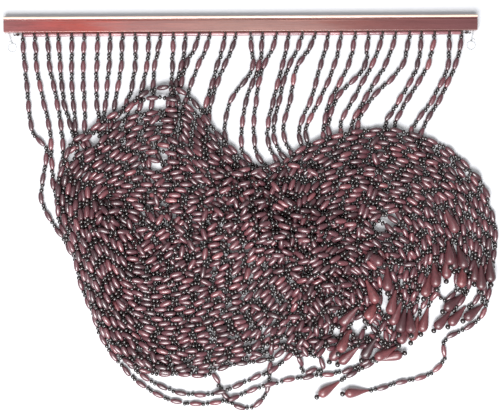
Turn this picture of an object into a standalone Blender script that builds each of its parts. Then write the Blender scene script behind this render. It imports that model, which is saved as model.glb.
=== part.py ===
"""Bead curtain on a wooden bar, laid down flat on a surface.

The bar lies at the top with a row of tube spacers laced under it. 35 bead strands are tied between the spacers,
hang clear of each other for a hand's width, and are then laid down together in a reversed S: over and down the
left lobe, back up across the middle, over the right lobe and down to their end drops. The strands are one solid,
a comb along the lacing row. Metres, +Z up, +Y towards the bar, the surface at Z = 0.
"""
import math

import bmesh
import bpy
import numpy as np
from mathutils import Matrix

# Bar: a flat moulding with a round lip along its upper edge.
BAR_LENGTH = 0.900
BAR_WIDTH = 0.030
BAR_FACE_HEIGHT = 0.0130
LIP_RADIUS = 0.0034
GROOVE_WIDTH = 0.0030
GROOVE_DEPTH = 0.0016
ARRIS = 0.0012

# Lacing row of tube spacers along the bar's lower edge, and the strands below it.
GAP = 0.0003
ROW_ENDS = (-0.424, 0.430)
ROW_WIDTH = 0.0072
STRANDS = 35
STRAND_LENGTH = 2.20
STRAND_WIDTH = 0.0086
STRAND_HEIGHT = 0.0092
DROP_LENGTH = 0.048
DROP_WIDTH = 0.0196

# Hanging loops: a wire stem out of the bar's lower edge and a ring lying on the surface.
WIRE = 0.0012
RING_RADIUS = 0.0085
RING_Y = -0.0275
# columns: name, ring centre X, stem X at the bar
LOOPS = (
    ("hang_loop_left", -0.4365, -0.4425),
    ("hang_loop_right", 0.4400, 0.4440),
)

# How each strand hangs: a row for each, from left to right.
# columns: X at the lacing row, then its drift along X at the three HANG_DEPTHS
HANG_DEPTHS = (0.068, 0.130, 0.193)
START_DEPTH = 0.5  # share of the first depth where a strand has START_DRIFT of its first drift
START_DRIFT = 0.35
HANG = (
    (-0.416, 0.005, 0.010, 0.020),
    (-0.393, 0.004, 0.016, 0.029),
    (-0.369, 0.005, 0.018, 0.027),
    (-0.348, 0.004, 0.009, 0.026),
    (-0.322, -0.001, 0.002, 0.008),
    (-0.298, -0.003, -0.001, 0.001),
    (-0.272, -0.003, -0.003, -0.001),
    (-0.249, -0.003, -0.009, -0.014),
    (-0.225, -0.004, -0.014, -0.023),
    (-0.201, 0.000, -0.013, -0.018),
    (-0.175, -0.004, -0.020, -0.029),
    (-0.152, -0.014, -0.015, -0.027),
    (-0.128, -0.003, -0.001, -0.011),
    (-0.105, -0.006, -0.029, -0.038),
    (-0.079, -0.030, -0.045, -0.052),
    (-0.058, -0.025, -0.045, -0.054),
    (-0.029, -0.017, -0.034, -0.049),
    (-0.009, -0.024, -0.048, -0.060),
    (0.019, 0.004, -0.038, -0.051),
    (0.042, -0.008, -0.032, -0.041),
    (0.069, -0.027, -0.040, -0.045),
    (0.092, -0.014, -0.030, -0.043),
    (0.118, -0.028, -0.045, -0.057),
    (0.143, -0.036, -0.049, -0.064),
    (0.168, -0.017, -0.034, -0.060),
    (0.192, -0.015, -0.041, -0.072),
    (0.219, -0.015, -0.047, -0.063),
    (0.243, -0.007, -0.062, -0.081),
    (0.271, -0.023, -0.057, -0.089),
    (0.296, -0.022, -0.060, -0.089),
    (0.322, -0.015, -0.074, -0.111),
    (0.345, -0.008, -0.042, -0.077),
    (0.370, -0.014, -0.052, -0.083),
    (0.398, -0.003, -0.032, -0.073),
    (0.422, -0.013, -0.043, -0.076),
)

# The laid bundle, as gates that the strands pass in turn. A strand keeps its lane, 0 to 1, across the gates.
# columns: X and Y of lane 0, X and Y of lane 1
ARCH = (  # right to left over the top of the left lobe, lane 0 outermost
    (0.012, -0.262, -0.015, -0.355),
    (-0.056, -0.187, -0.073, -0.343),
    (-0.096, -0.134, -0.112, -0.343),
    (-0.146, -0.112, -0.149, -0.343),
    (-0.206, -0.132, -0.186, -0.343),
    (-0.265, -0.172, -0.222, -0.344),
    (-0.333, -0.228, -0.258, -0.344),
)
TURN = (  # down the left side and round the bottom, lane 0 outermost
    (-0.350, -0.324, -0.235, -0.365),
    (-0.308, -0.426, -0.225, -0.392),
    (-0.270, -0.544, -0.212, -0.405),
    (-0.222, -0.617, -0.196, -0.405),
    (-0.157, -0.651, -0.174, -0.388),
    (-0.033, -0.636, -0.125, -0.350),
)
CROSS = (  # up across the middle, lane 0 lowest
    (0.082, -0.597, -0.056, -0.315),
    (0.145, -0.546, 0.013, -0.275),
)
LOBE = (  # over the right lobe and down to the ends, lane 0 outermost
    (0.112, -0.226, 0.120, -0.531),
    (0.280, -0.185, 0.167, -0.483),
    (0.414, -0.239, 0.196, -0.503),
    (0.480, -0.371, 0.200, -0.541),
    (0.464, -0.494, 0.184, -0.590),
    (0.412, -0.588, 0.155, -0.628),
    (0.335, -0.650, 0.110, -0.658),
)
BENDS = {"arch": ARCH, "turn": TURN, "cross": CROSS, "lobe": LOBE}
LANE_WANDER = {"arch": 0.030, "turn": 0.022, "cross": 0.026, "lobe": 0.022}

# Loose strands that leave their lane: the points that stand in for some of a bend's gates.
# columns: strand, bend, first gate replaced, first gate kept again, points
STRAYS = (
    (0, "turn", 0, 2, ((-0.373, -0.218), (-0.379, -0.281), (-0.381, -0.324), (-0.353, -0.372), (-0.323, -0.414))),
    (1, "turn", 0, 1, ((-0.362, -0.243), (-0.353, -0.300))),
    (1, "turn", 5, 6, ((-0.100, -0.651), (-0.054, -0.652), (-0.041, -0.686), (0.001, -0.718), (0.035, -0.705),
                       (0.053, -0.663))),
    (3, "cross", 0, 1, ((0.064, -0.625), (0.077, -0.658), (0.096, -0.681), (0.125, -0.689), (0.150, -0.670),
                        (0.152, -0.626))),
    (6, "turn", 0, 1, ((-0.314, -0.249), (-0.353, -0.300), (-0.307, -0.332), (-0.231, -0.344), (-0.178, -0.346),
                       (-0.174, -0.381), (-0.224, -0.392), (-0.285, -0.372))),
    (10, "cross", 0, 2, ((-0.064, -0.343), (-0.029, -0.347), (-0.003, -0.376), (0.048, -0.382), (0.111, -0.388))),
    (10, "lobe", 0, 1, ((0.174, -0.394), (0.216, -0.350))),
    (12, "cross", 0, 2, ((-0.140, -0.348), (-0.149, -0.305), (-0.103, -0.282), (0.049, -0.277))),
    (12, "lobe", 0, 3, ((0.174, -0.303), (0.302, -0.298), (0.384, -0.323))),
    (14, "cross", 0, 2, ((-0.136, -0.438), (-0.080, -0.480), (-0.023, -0.498), (0.034, -0.502))),
    (14, "lobe", 0, 1, ((0.143, -0.498), (0.197, -0.440))),
    (16, "lobe", 4, 7, ((0.473, -0.470), (0.455, -0.548), (0.385, -0.592), (0.386, -0.622), (0.361, -0.652),
                        (0.294, -0.672), (0.256, -0.683), (0.190, -0.690))),
    (17, "arch", 1, 5, ((-0.060, -0.176), (-0.087, -0.134), (-0.122, -0.106), (-0.170, -0.108), (-0.212, -0.142))),
    (17, "turn", 2, 6, ((-0.290, -0.510), (-0.242, -0.620), (-0.180, -0.681), (-0.112, -0.708), (-0.039, -0.705))),
    (17, "cross", 0, 2, ((0.030, -0.679), (0.110, -0.660))),
    (17, "lobe", 0, 7, ((0.195, -0.649), (0.285, -0.615), (0.357, -0.600), (0.434, -0.570))),
    (18, "turn", 3, 6, ((-0.218, -0.628), (-0.160, -0.674), (-0.071, -0.693))),
    (18, "cross", 0, 1, ((0.030, -0.656), (0.091, -0.618))),
)

# Outline of the heap within which its strands have slid apart until hardly any of the surface shows.
# columns: X, Y
OUTLINE = (
    (-0.009, -0.256), (-0.035, -0.222), (-0.066, -0.176), (-0.094, -0.152), (-0.126, -0.144), (-0.164, -0.144),
    (-0.208, -0.157), (-0.254, -0.178), (-0.294, -0.201), (-0.313, -0.252), (-0.317, -0.319), (-0.311, -0.376),
    (-0.311, -0.414), (-0.305, -0.462), (-0.288, -0.515), (-0.265, -0.572), (-0.241, -0.607), (-0.172, -0.653),
    (-0.077, -0.651), (-0.016, -0.636), (0.060, -0.629), (0.098, -0.607), (0.113, -0.660), (0.167, -0.656),
    (0.199, -0.638), (0.265, -0.634), (0.296, -0.630), (0.361, -0.608), (0.382, -0.547), (0.463, -0.528),
    (0.475, -0.456), (0.479, -0.380), (0.475, -0.323), (0.448, -0.268), (0.402, -0.237), (0.342, -0.204),
    (0.284, -0.185), (0.208, -0.190), (0.113, -0.220), (0.049, -0.260),
)

# Lanes. Strands left of LEFT_STRANDS run straight down into the turn, the others come round over the arch.
LEFT_STRANDS = 17
LEFT_TURN_LANES = (0.07, 0.87)
LEFT_LOBE_LANES = (0.56, 0.0)
RIGHT_LOBE_LANES = (1.0, 0.36)
LOBE_HOLE = (0.55, 0.67)  # lanes left empty in the right lobe, where the surface shows through
WANDER_SEED = 300
WANDER_LIMIT = 1.6

# Slack bends: each strand's spare length runs down to the foot of a bend and back up, under what is laid later.
SLACK_STEPS = 31
SLACK_MOST = 3.0
ROUTE_SPARE = -0.035
END_SPREAD = 0.18
BEND_HALF = 0.019
BEND_TOP = -0.300
BEND_DEPTH = 0.110
ENTRY_Y = -0.246
ENTRY_SHIFT = 0.008
LEFT_BEND_X = (-0.262, 0.020)  # bend of the first and the last of the left strands
VALLEY_X = 0.125
RIGHT_BEND_SHARE = 1.12  # how far from the valley towards its own foot a right strand has its bend
LATE_BENDS = (0, 1, 2, 3, 6)  # strands whose bends come after the middle, under the right lobe
LATE_BEND_X = (0.115, 0.180)
LATE_BEND_TOP = -0.440
LATE_BEND_DEPTH = 0.055
LATE_BEND_PITCH = 0.042
LATE_BEND_COUNT = 4

# Sliding apart: strands slide sideways off each other into places that are bare or thinly covered.
MAP_LOW = (-0.52, -0.80)
MAP_HIGH = (0.56, 0.02)
MAP_CELL = 0.003
SLIDING_WIDTH = 0.0100
HELD_LENGTH = 0.19
STAYING = (0, 1, 16, 17, 18)  # loose strands that do not slide
FREE_RAMP = 0.08
SLIDE_WINDOW = 26
# columns: softness of the map, layers that count as enough, rounds, gain
SLIDE_PASSES = ((0.025, 2.3, 20, 9.0e-5), (0.010, 1.8, 60, 6.0e-5), (0.0035, 1.3, 100, 2.5e-5))
# columns: X, Y and radius of a round place that the strands keep clear of
SLIDE_GAPS = (
    (0.262, -0.376, 0.010), (0.276, -0.365, 0.012), (0.290, -0.354, 0.010), (-0.277, -0.208, 0.008),
    (-0.163, -0.256, 0.009), (-0.150, -0.236, 0.007),
)
GAP_PUSH = 1.3

# The heap's height, from how many layers of strand lie over each place.
CELL = 0.0160
FINE = 4
SNAP_REACH = 0.42  # how far a corner may move on to the outline, in cells
BLUR = 0.0070
MEAN_WIDTH = 0.0080
EDGE_LAYERS = 0.62
BASE_HEIGHT = 0.0050
LAYER_HEIGHT = 0.0080
HIGHEST = 0.048
ROUTE_STEP = 0.002
CURVE_POINTS = 1500
TOOTH_STEP = 0.048
TOOTH_OVERLAP = 0.012
SHORTEST_LOOSE = 0.030


def clear_scene():
    """Remove every object of the open scene."""
    for ob in list(bpy.data.objects):
        bpy.data.objects.remove(ob)


def material(name, colour, roughness):
    """A plain Principled material."""
    mat = bpy.data.materials.new(name)
    mat.use_nodes = True
    shader = mat.node_tree.nodes["Principled BSDF"]
    shader.inputs["Base Color"].default_value = (*colour, 1.0)
    shader.inputs["Roughness"].default_value = roughness
    shader.inputs["Metallic"].default_value = 0.0
    mat.diffuse_color = (*colour, 1.0)
    return mat


def add_object(name, bm, mat):
    """Write a bmesh to a new named object and link it."""
    mesh = bpy.data.meshes.new(name)
    bmesh.ops.recalc_face_normals(bm, faces=bm.faces)
    bm.to_mesh(mesh)
    bm.free()
    mesh.materials.append(mat)
    ob = bpy.data.objects.new(name, mesh)
    bpy.context.scene.collection.objects.link(ob)
    return ob


def arc(centre, radius, start, end, steps):
    """Points of an arc in a profile plane, angles in degrees."""
    angles = np.radians(np.linspace(start, end, steps))
    return [(centre[0] + radius * math.cos(a), centre[1] + radius * math.sin(a)) for a in angles]


# ---------------------------------------------------------------- strand routes

def lane_point(gate, lane):
    """The point of a gate at a lane."""
    x0, y0, x1, y1 = gate
    return (x0 + (x1 - x0) * lane, y0 + (y1 - y0) * lane)


def hanging_points(k):
    """A strand's points from the lacing row to the edge of the heap."""
    x, *drifts = HANG[k]
    points = [(x, -ROW_WIDTH / 2), (x + START_DRIFT * drifts[0], -START_DEPTH * HANG_DEPTHS[0])]
    return points + [(x + drift, -depth) for drift, depth in zip(drifts, HANG_DEPTHS)]


def bend_points(x, y):
    """A hairpin bend with its foot at a point, entered from the right."""
    return [(x + BEND_HALF, y + BEND_HALF), (x, y), (x - BEND_HALF, y + BEND_HALF)]


def hidden_points(k, foot, slack):
    """A strand's way under the heap from its foot to its first bend, longer where there is slack to lose."""
    if k in LATE_BENDS:
        return []
    x = foot[0]
    if k < LEFT_STRANDS:
        low, high = LEFT_BEND_X
        place = low + (high - low) * k / (LEFT_STRANDS - 1)
    else:
        place = max(VALLEY_X + RIGHT_BEND_SHARE * (x - VALLEY_X), VALLEY_X)
    return [(x + ENTRY_SHIFT, ENTRY_Y)] + bend_points(place, BEND_TOP - BEND_DEPTH * slack)


def late_points(k, slack):
    """The bends under the right lobe of a strand that runs straight into the turn."""
    if k not in LATE_BENDS:
        return []
    low, high = LATE_BEND_X
    place = low + (high - low) * LATE_BENDS.index(k) / (len(LATE_BENDS) - 1)
    places = place + LATE_BEND_PITCH * np.arange(LATE_BEND_COUNT)
    y = LATE_BEND_TOP - LATE_BEND_DEPTH * slack
    return [point for x in places for point in bend_points(x, y)[::-1]]


def lanes(k):
    """A strand's lane over the arch, round the turn and over the right lobe."""
    if k < LEFT_STRANDS:
        share = k / (LEFT_STRANDS - 1)
        turn = LEFT_TURN_LANES[0] + (LEFT_TURN_LANES[1] - LEFT_TURN_LANES[0]) * share
        lobe = LEFT_LOBE_LANES[0] + (LEFT_LOBE_LANES[1] - LEFT_LOBE_LANES[0]) * share
    else:
        share = (k - LEFT_STRANDS) / (STRANDS - 1 - LEFT_STRANDS)
        turn = share
        lobe = RIGHT_LOBE_LANES[0] + (RIGHT_LOBE_LANES[1] - RIGHT_LOBE_LANES[0]) * share
    if LOBE_HOLE[0] < lobe < LOBE_HOLE[1]:
        lobe = LOBE_HOLE[0] if lobe < sum(LOBE_HOLE) / 2 else LOBE_HOLE[1]
    return {"arch": turn, "turn": turn, "cross": turn, "lobe": lobe}


def strand_points(k, slack):
    """All the points that a strand's route runs through."""
    wander = np.random.RandomState(WANDER_SEED + k)
    lane = lanes(k)
    points = hanging_points(k)
    points += hidden_points(k, points[-1], slack)
    for bend, gates in BENDS.items():
        if bend == "arch" and k < LEFT_STRANDS:
            continue
        if bend == "lobe":
            points += late_points(k, slack)
        strays = {row[2]: row for row in STRAYS if row[0] == k and row[1] == bend}
        i = 0
        while i < len(gates):
            shift = LANE_WANDER[bend] * np.clip(wander.randn(), -WANDER_LIMIT, WANDER_LIMIT)
            if i in strays:
                points += strays[i][4]
                i = strays[i][3]
            else:
                points.append(lane_point(gates[i], min(max(lane[bend] + shift, 0.0), 1.0)))
                i += 1
    return np.array(points)


def smooth_route(points):
    """A smooth curve through the points, as points ROUTE_STEP apart.

    Cubic Hermite spans with the slopes of the neighbouring points, over knots spaced by the root of the distance.
    """
    gaps = np.hypot(*np.diff(points, axis=0).T)
    knots = np.concatenate([[0.0], np.cumsum(np.sqrt(gaps))])
    slopes = np.gradient(points, knots, axis=0)
    u = np.linspace(0.0, knots[-1], CURVE_POINTS)
    span = np.clip(np.searchsorted(knots, u, side="right") - 1, 0, len(gaps) - 1)
    h = (knots[span + 1] - knots[span])[:, None]
    s = (u - knots[span])[:, None] / h
    curve = (
        (2 * s**3 - 3 * s**2 + 1) * points[span]
        + (s**3 - 2 * s**2 + s) * h * slopes[span]
        + (3 * s**2 - 2 * s**3) * points[span + 1]
        + (s**3 - s**2) * h * slopes[span + 1]
    )
    along = np.concatenate([[0.0], np.cumsum(np.hypot(*np.diff(curve, axis=0).T))])
    stations = np.arange(0.0, along[-1], ROUTE_STEP)
    return np.stack([np.interp(stations, along, curve[:, i]) for i in (0, 1)], axis=1)


def resampled(points, length):
    """A line as points ROUTE_STEP apart, cut to a length, or going straight on where it is too short."""
    way = points[-1] - points[-10]
    points = np.concatenate([points, [points[-1] + way / max(np.hypot(*way), 1e-9) * length]])
    along = np.concatenate([[0.0], np.cumsum(np.hypot(*np.diff(points, axis=0).T))])
    places = ROUTE_STEP * np.arange(int(length / ROUTE_STEP))
    return np.stack([np.interp(places, along, points[:, i]) for i in (0, 1)], axis=1)


def strand_route(k):
    """A strand's route as it is laid: the slack is raised until the route is long enough, then it is cut."""
    wanted = STRAND_LENGTH + ROUTE_SPARE + END_SPREAD * ((k * 7) % 10) / 10
    best = None
    for slack in np.linspace(0.0, SLACK_MOST, SLACK_STEPS):
        route = smooth_route(strand_points(k, slack))
        miss = abs(len(route) * ROUTE_STEP - wanted)
        if best is None or miss < best[0]:
            best = (miss, route)
        if len(route) * ROUTE_STEP >= wanted:
            break
    return resampled(best[1], STRAND_LENGTH)


# ---------------------------------------------------------------- sliding apart

def blurred(grid, soft):
    """A map blurred by a Gaussian of a soft width along both of its sides."""
    reach = math.ceil(3 * soft / MAP_CELL)
    weights = np.exp(-0.5 * (np.arange(-reach, reach + 1) * MAP_CELL / soft) ** 2)
    for _ in range(2):
        padded = np.pad(grid, ((reach, reach), (0, 0)))
        grid = sum(w * padded[i : i + len(grid)] for i, w in enumerate(weights / weights.sum())).T
    return grid


def corner_shares(points):
    """Column, row and share of each of the four cells round each point."""
    place = (points - MAP_LOW) / MAP_CELL - 0.5
    base = np.floor(place).astype(int)
    part = place - base
    shares = ((1 - part[:, 0], part[:, 0]), (1 - part[:, 1], part[:, 1]))
    return [(base[:, 0] + i, base[:, 1] + j, shares[0][i] * shares[1][j]) for i in (0, 1) for j in (0, 1)]


def layer_map(routes, soft):
    """Layers of strand over each cell, blurred."""
    grid = np.zeros(np.ceil((np.array(MAP_HIGH) - MAP_LOW) / MAP_CELL).astype(int))
    for column, row, share in corner_shares(np.concatenate(routes)):
        np.add.at(grid, (column, row), share)
    return blurred(grid * ROUTE_STEP * SLIDING_WIDTH / MAP_CELL**2, soft)


def map_middles():
    """X of each column of the map and Y of each row, as a column and a row."""
    size = np.ceil((np.array(MAP_HIGH) - MAP_LOW) / MAP_CELL).astype(int)
    x, y = (MAP_LOW[i] + (np.arange(size[i]) + 0.5) * MAP_CELL for i in (0, 1))
    return x[:, None], y[None, :]


def inside_gaps():
    """Cells whose middle is inside one of the gaps."""
    x, y = map_middles()
    return np.any([np.hypot(x - a, y - b) < radius for a, b, radius in SLIDE_GAPS], axis=0)


def inside_outline():
    """Cells whose middle is inside the outline: those left of an odd number of its sides."""
    x, y = map_middles()
    within = np.zeros((x.size, y.size), dtype=bool)
    for (x0, y0), (x1, y1) in zip(OUTLINE, OUTLINE[1:] + OUTLINE[:1]):
        if y0 != y1:
            within ^= ((y0 > y) != (y1 > y)) & (x < x0 + (y - y0) * (x1 - x0) / (y1 - y0))
    return within


def slide_apart(routes):
    """Routes after each strand has been pushed up the slope of what is missing, across its own run only."""
    routes = [route.copy() for route in routes]
    counts = np.cumsum([len(route) for route in routes])[:-1]
    weights = np.hanning(2 * SLIDE_WINDOW + 3)[1:-1]
    weights /= weights.sum()
    within, clear = inside_outline(), inside_gaps()
    for soft, enough, rounds, gain in SLIDE_PASSES:
        for _ in range(rounds):
            missing = np.where(within, np.clip(enough - layer_map(routes, soft), 0.0, None), 0.0)
            missing[clear] = -GAP_PUSH
            slopes = np.gradient(blurred(missing, soft), MAP_CELL)
            pushes = sum(
                share[:, None] * np.stack([slope[column, row] for slope in slopes], axis=1)
                for column, row, share in corner_shares(np.concatenate(routes))
            )
            for k, (route, push) in enumerate(zip(routes, np.split(pushes, counts))):
                if k in STAYING:
                    continue
                along = np.gradient(route, axis=0)
                along /= np.linalg.norm(along, axis=1, keepdims=True)
                push = push - along * (push * along).sum(axis=1, keepdims=True)
                push = np.pad(push, ((SLIDE_WINDOW, SLIDE_WINDOW), (0, 0)), mode="edge")
                push = np.stack([np.convolve(push[:, i], weights, "valid") for i in (0, 1)], axis=1)
                free = np.clip((np.arange(len(route)) * ROUTE_STEP - HELD_LENGTH) / FREE_RAMP, 0.0, 1.0)
                route += gain * free[:, None] * push
    return routes


def all_routes():
    """The routes of all the strands, after they have slid apart."""
    laid = [strand_route(k) for k in range(STRANDS)]
    return [resampled(route, STRAND_LENGTH) for route in slide_apart(laid)]


# ---------------------------------------------------------------- heap

def layer_field(routes):
    """Layers of strand over each place, blurred, as the grid's low corner and its field."""
    step = CELL / FINE
    points = np.concatenate(routes)
    low = points.min(axis=0) - 4 * CELL
    count = (np.ceil((points.max(axis=0) + 4 * CELL - low) / CELL).astype(int)) * FINE + 1
    field = np.zeros(count)
    for route in routes:
        width = np.full(len(route), MEAN_WIDTH)
        width[: int(HANG_DEPTHS[2] / ROUTE_STEP)] = 0.0
        width[-int(DROP_LENGTH / ROUTE_STEP):] = DROP_WIDTH
        cell = np.rint((route - low) / step).astype(int)
        np.add.at(field, (cell[:, 0], cell[:, 1]), width * ROUTE_STEP / step**2)
    fx = np.fft.fftfreq(count[0], step)[:, None]
    fy = np.fft.fftfreq(count[1], step)[None, :]
    smooth = np.exp(-2 * (math.pi * BLUR) ** 2 * (fx**2 + fy**2))
    return low, np.real(np.fft.ifft2(np.fft.fft2(field) * smooth))


def heap_height(layers):
    """Height of the heap for a number of layers."""
    return np.minimum(BASE_HEIGHT + LAYER_HEIGHT * layers, HIGHEST)


def kept_cells(layers):
    """Cells under the heap, with corners that only touch at one point filled in."""
    middle = (layers[:-1, :-1] + layers[1:, :-1] + layers[:-1, 1:] + layers[1:, 1:]) / 4
    keep = middle > EDGE_LAYERS
    changed = True
    while changed:
        a, b, c, d = keep[:-1, :-1], keep[1:, :-1], keep[:-1, 1:], keep[1:, 1:]
        rising = a & d & ~b & ~c
        falling = b & c & ~a & ~d
        changed = bool(rising.any() or falling.any())
        keep[1:, :-1] |= rising
        keep[:-1, :-1] |= falling
    return largest_island(keep)


def largest_island(keep):
    """The cells that hang together with the heap's largest island."""
    best = np.zeros_like(keep)
    left = keep.copy()
    while left.any():
        island = np.zeros_like(keep)
        island[tuple(np.argwhere(left)[0])] = True
        size = 0
        while island.sum() > size:
            size = island.sum()
            spread = np.pad(island, 1)
            beside = spread[:-2, 1:-1] | spread[2:, 1:-1] | spread[1:-1, :-2] | spread[1:-1, 2:]
            island = (beside | island) & left
        left &= ~island
        if size > best.sum():
            best = island
    return best


def snap_to_edge(low, field, nodes):
    """Grid corners on the heap's outline, moved along the field's slope on to the outline itself."""
    step = CELL / FINE
    slope = np.stack(np.gradient(field, step), axis=-1)
    at = nodes * FINE
    steep = slope[at[:, 0], at[:, 1]]
    off = (EDGE_LAYERS - field[at[:, 0], at[:, 1]])[:, None]
    move = off * steep / np.maximum((steep**2).sum(axis=1, keepdims=True), 1e-6)
    size = np.linalg.norm(move, axis=1, keepdims=True)
    move *= np.minimum(1.0, SNAP_REACH * CELL / np.maximum(size, 1e-9))
    return low + nodes * CELL + move


def heap_bmesh(low, field):
    """The heap as one closed solid: top from the layers, upright edge, flat underside."""
    layers = field[::FINE, ::FINE]
    keep = kept_cells(layers)
    padded = np.pad(keep, 1)
    around = padded[:-1, :-1].astype(int) + padded[1:, :-1] + padded[:-1, 1:] + padded[1:, 1:]
    height = heap_height(layers)
    on_edge = np.argwhere((around > 0) & (around < 4))
    place = {tuple(n): p for n, p in zip(on_edge, snap_to_edge(low, field, on_edge))}
    bm = bmesh.new()
    top, bottom = {}, {}
    for i, j in np.argwhere(around > 0):
        x, y = place.get((i, j), low + np.array((i, j)) * CELL)
        edge = (i, j) in place
        z = heap_height(EDGE_LAYERS) if edge else height[i, j]
        top[i, j] = bm.verts.new((x, y, z))
        bottom[i, j] = bm.verts.new((x, y, 0.0))
    under = []
    for i, j in np.argwhere(keep):
        ring = [(i, j), (i + 1, j), (i + 1, j + 1), (i, j + 1)]
        bm.faces.new([top[n] for n in ring])
        under.append(bm.faces.new([bottom[n] for n in reversed(ring)]))
        beside = ((i, j - 1), (i + 1, j), (i, j + 1), (i - 1, j))
        for n, (p, q) in enumerate(beside):
            if not padded[p + 1, q + 1]:
                a, b = ring[n], ring[(n + 1) % 4]
                bm.faces.new([top[b], top[a], bottom[a], bottom[b]])
    inner = [e for e in bm.edges if len(e.link_faces) == 2 and all(f in set(under) for f in e.link_faces)]
    return bm, inner


def flatten_underside(bm, edges):
    """Merge the underside's cells into as few faces as its outline and holes allow."""
    verts = {v for e in edges for v in e.verts}
    bmesh.ops.dissolve_limit(bm, angle_limit=math.radians(0.5), verts=list(verts), edges=edges)


def sweep(bm, path, widths, lift):
    """A closed six-sided bar along a flat path, flat below and above, of a width given for each point."""
    low, high = GAP + lift, STRAND_HEIGHT - 0.001 + lift
    middle = 0.5 * (low + high)
    section = ((-0.5, low), (0.5, low), (1.0, middle), (0.5, high), (-0.5, high), (-1.0, middle))
    tangent = np.gradient(path, axis=0)
    tangent /= np.linalg.norm(tangent, axis=1, keepdims=True)
    rings = []
    for (x, y), (tx, ty), width in zip(path, tangent, widths):
        half = width / 2
        rings.append([bm.verts.new((x - ty * half * u, y + tx * half * u, z)) for u, z in section])
    for a, b in zip(rings, rings[1:]):
        for n in range(len(section)):
            m = (n + 1) % len(section)
            bm.faces.new((a[n], a[m], b[m], b[n]))
    bm.faces.new(rings[0][::-1])
    bm.faces.new(rings[-1])


def stations(first, last):
    """A few of a route's indices between two of them, TOOTH_STEP apart."""
    count = max(2, 1 + int(round((last - first) * ROUTE_STEP / TOOTH_STEP)))
    return np.linspace(first, last, count).astype(int)


def loose_stretches(route, low, keep):
    """Index pairs of the stretches of a route that lie outside the heap, a little longer at both ends."""
    cell = np.floor((route - low) / CELL).astype(int)
    outside = ~keep[cell[:, 0], cell[:, 1]]
    steps = np.flatnonzero(np.diff(np.concatenate([[0], outside.astype(int), [0]])))
    extra = int(TOOTH_OVERLAP / ROUTE_STEP)
    for first, last in zip(steps[::2], steps[1::2]):
        if first == 0 or (last - first) * ROUTE_STEP > SHORTEST_LOOSE:
            yield max(first - extra, 0), min(last + extra, len(route) - 1)


def strands_bmesh(routes, low, keep):
    """The lacing row, the hanging strands and the loose stretches, as closed bars that cross each other."""
    bm = bmesh.new()
    row = np.array([(x, -GAP - ROW_WIDTH / 2 - 0.0004) for x in np.linspace(*ROW_ENDS, 3)])
    sweep(bm, row, [STRAND_WIDTH] * len(row), -0.0002)
    drop = int(DROP_LENGTH / ROUTE_STEP)
    for k, route in enumerate(routes):
        for first, last in loose_stretches(route, low, keep):
            at = stations(first, last)
            if last == len(route) - 1 and last - first > drop:
                at = np.append(stations(first, last - drop), (last - drop // 3, last))
            widths = np.where(at == len(route) - 1 - drop // 3, DROP_WIDTH, STRAND_WIDTH)
            sweep(bm, route[at], widths, 0.0001 * (1 + k % 7))
    return bm


def build_comb(mat):
    """The curtain: lacing row, hanging strands and heap, joined into one solid."""
    routes = all_routes()
    low, field = layer_field(routes)
    heap, inner = heap_bmesh(low, field)
    flatten_underside(heap, inner)
    comb = add_object("bead_comb", heap, mat)
    teeth = add_object("teeth_guide", strands_bmesh(routes, low, kept_cells(field[::FINE, ::FINE])), mat)
    teeth.hide_render = True
    teeth.display_type = "WIRE"
    union = comb.modifiers.new("teeth", "BOOLEAN")
    union.operation = "UNION"
    union.solver = "EXACT"
    union.use_self = True
    union.object = teeth
    return comb


# ---------------------------------------------------------------- bar and loops

def build_bar(mat):
    """The bar: its moulded section run along X."""
    lip = (BAR_WIDTH - LIP_RADIUS, BAR_FACE_HEIGHT - 0.0014)
    groove = lip[0] - LIP_RADIUS - 0.0001
    face_end = groove - GROOVE_WIDTH
    floor = BAR_FACE_HEIGHT - GROOVE_DEPTH
    profile = [(ARRIS / 2, 0.0), (BAR_WIDTH - ARRIS / 2, 0.0), (BAR_WIDTH, ARRIS / 2)]
    profile += arc(lip, LIP_RADIUS, 0, 165, 10)
    profile += [(groove, floor), (face_end + 0.0008, floor), (face_end, BAR_FACE_HEIGHT)]
    profile += arc((ARRIS, BAR_FACE_HEIGHT - ARRIS), ARRIS, 90, 180, 5)
    profile += [(0.0, ARRIS / 2)]
    bm = bmesh.new()
    face = bm.faces.new([bm.verts.new((-BAR_LENGTH / 2, y, z)) for y, z in profile])
    run = bmesh.ops.extrude_face_region(bm, geom=[face])["geom"]
    moved = [v for v in run if isinstance(v, bmesh.types.BMVert)]
    bmesh.ops.translate(bm, verts=moved, vec=(BAR_LENGTH, 0.0, 0.0))
    return add_object("bar", bm, mat)


def tube(bm, path, closed):
    """A round eight-sided wire along a path of 3-D points."""
    path = np.asarray(path, dtype=float)
    ahead = np.roll(path, -1, axis=0) - np.roll(path, 1, axis=0)
    if not closed:
        ahead = np.gradient(path, axis=0)
    ahead /= np.linalg.norm(ahead, axis=1, keepdims=True)
    side = np.cross(ahead, (0.0, 0.0, 1.0))
    side /= np.linalg.norm(side, axis=1, keepdims=True)
    up = np.cross(side, ahead)
    angles = np.arange(8) * math.tau / 8
    rings = [
        [bm.verts.new(p + WIRE / 2 * (math.cos(a) * s + math.sin(a) * u)) for a in angles]
        for p, s, u in zip(path, side, up)
    ]
    pairs = list(zip(rings, rings[1:])) + ([(rings[-1], rings[0])] if closed else [])
    for a, b in pairs:
        for n in range(8):
            m = (n + 1) % 8
            bm.faces.new((a[n], a[m], b[m], b[n]))
    if not closed:
        bm.faces.new(rings[0][::-1])
        bm.faces.new(rings[-1])


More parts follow.
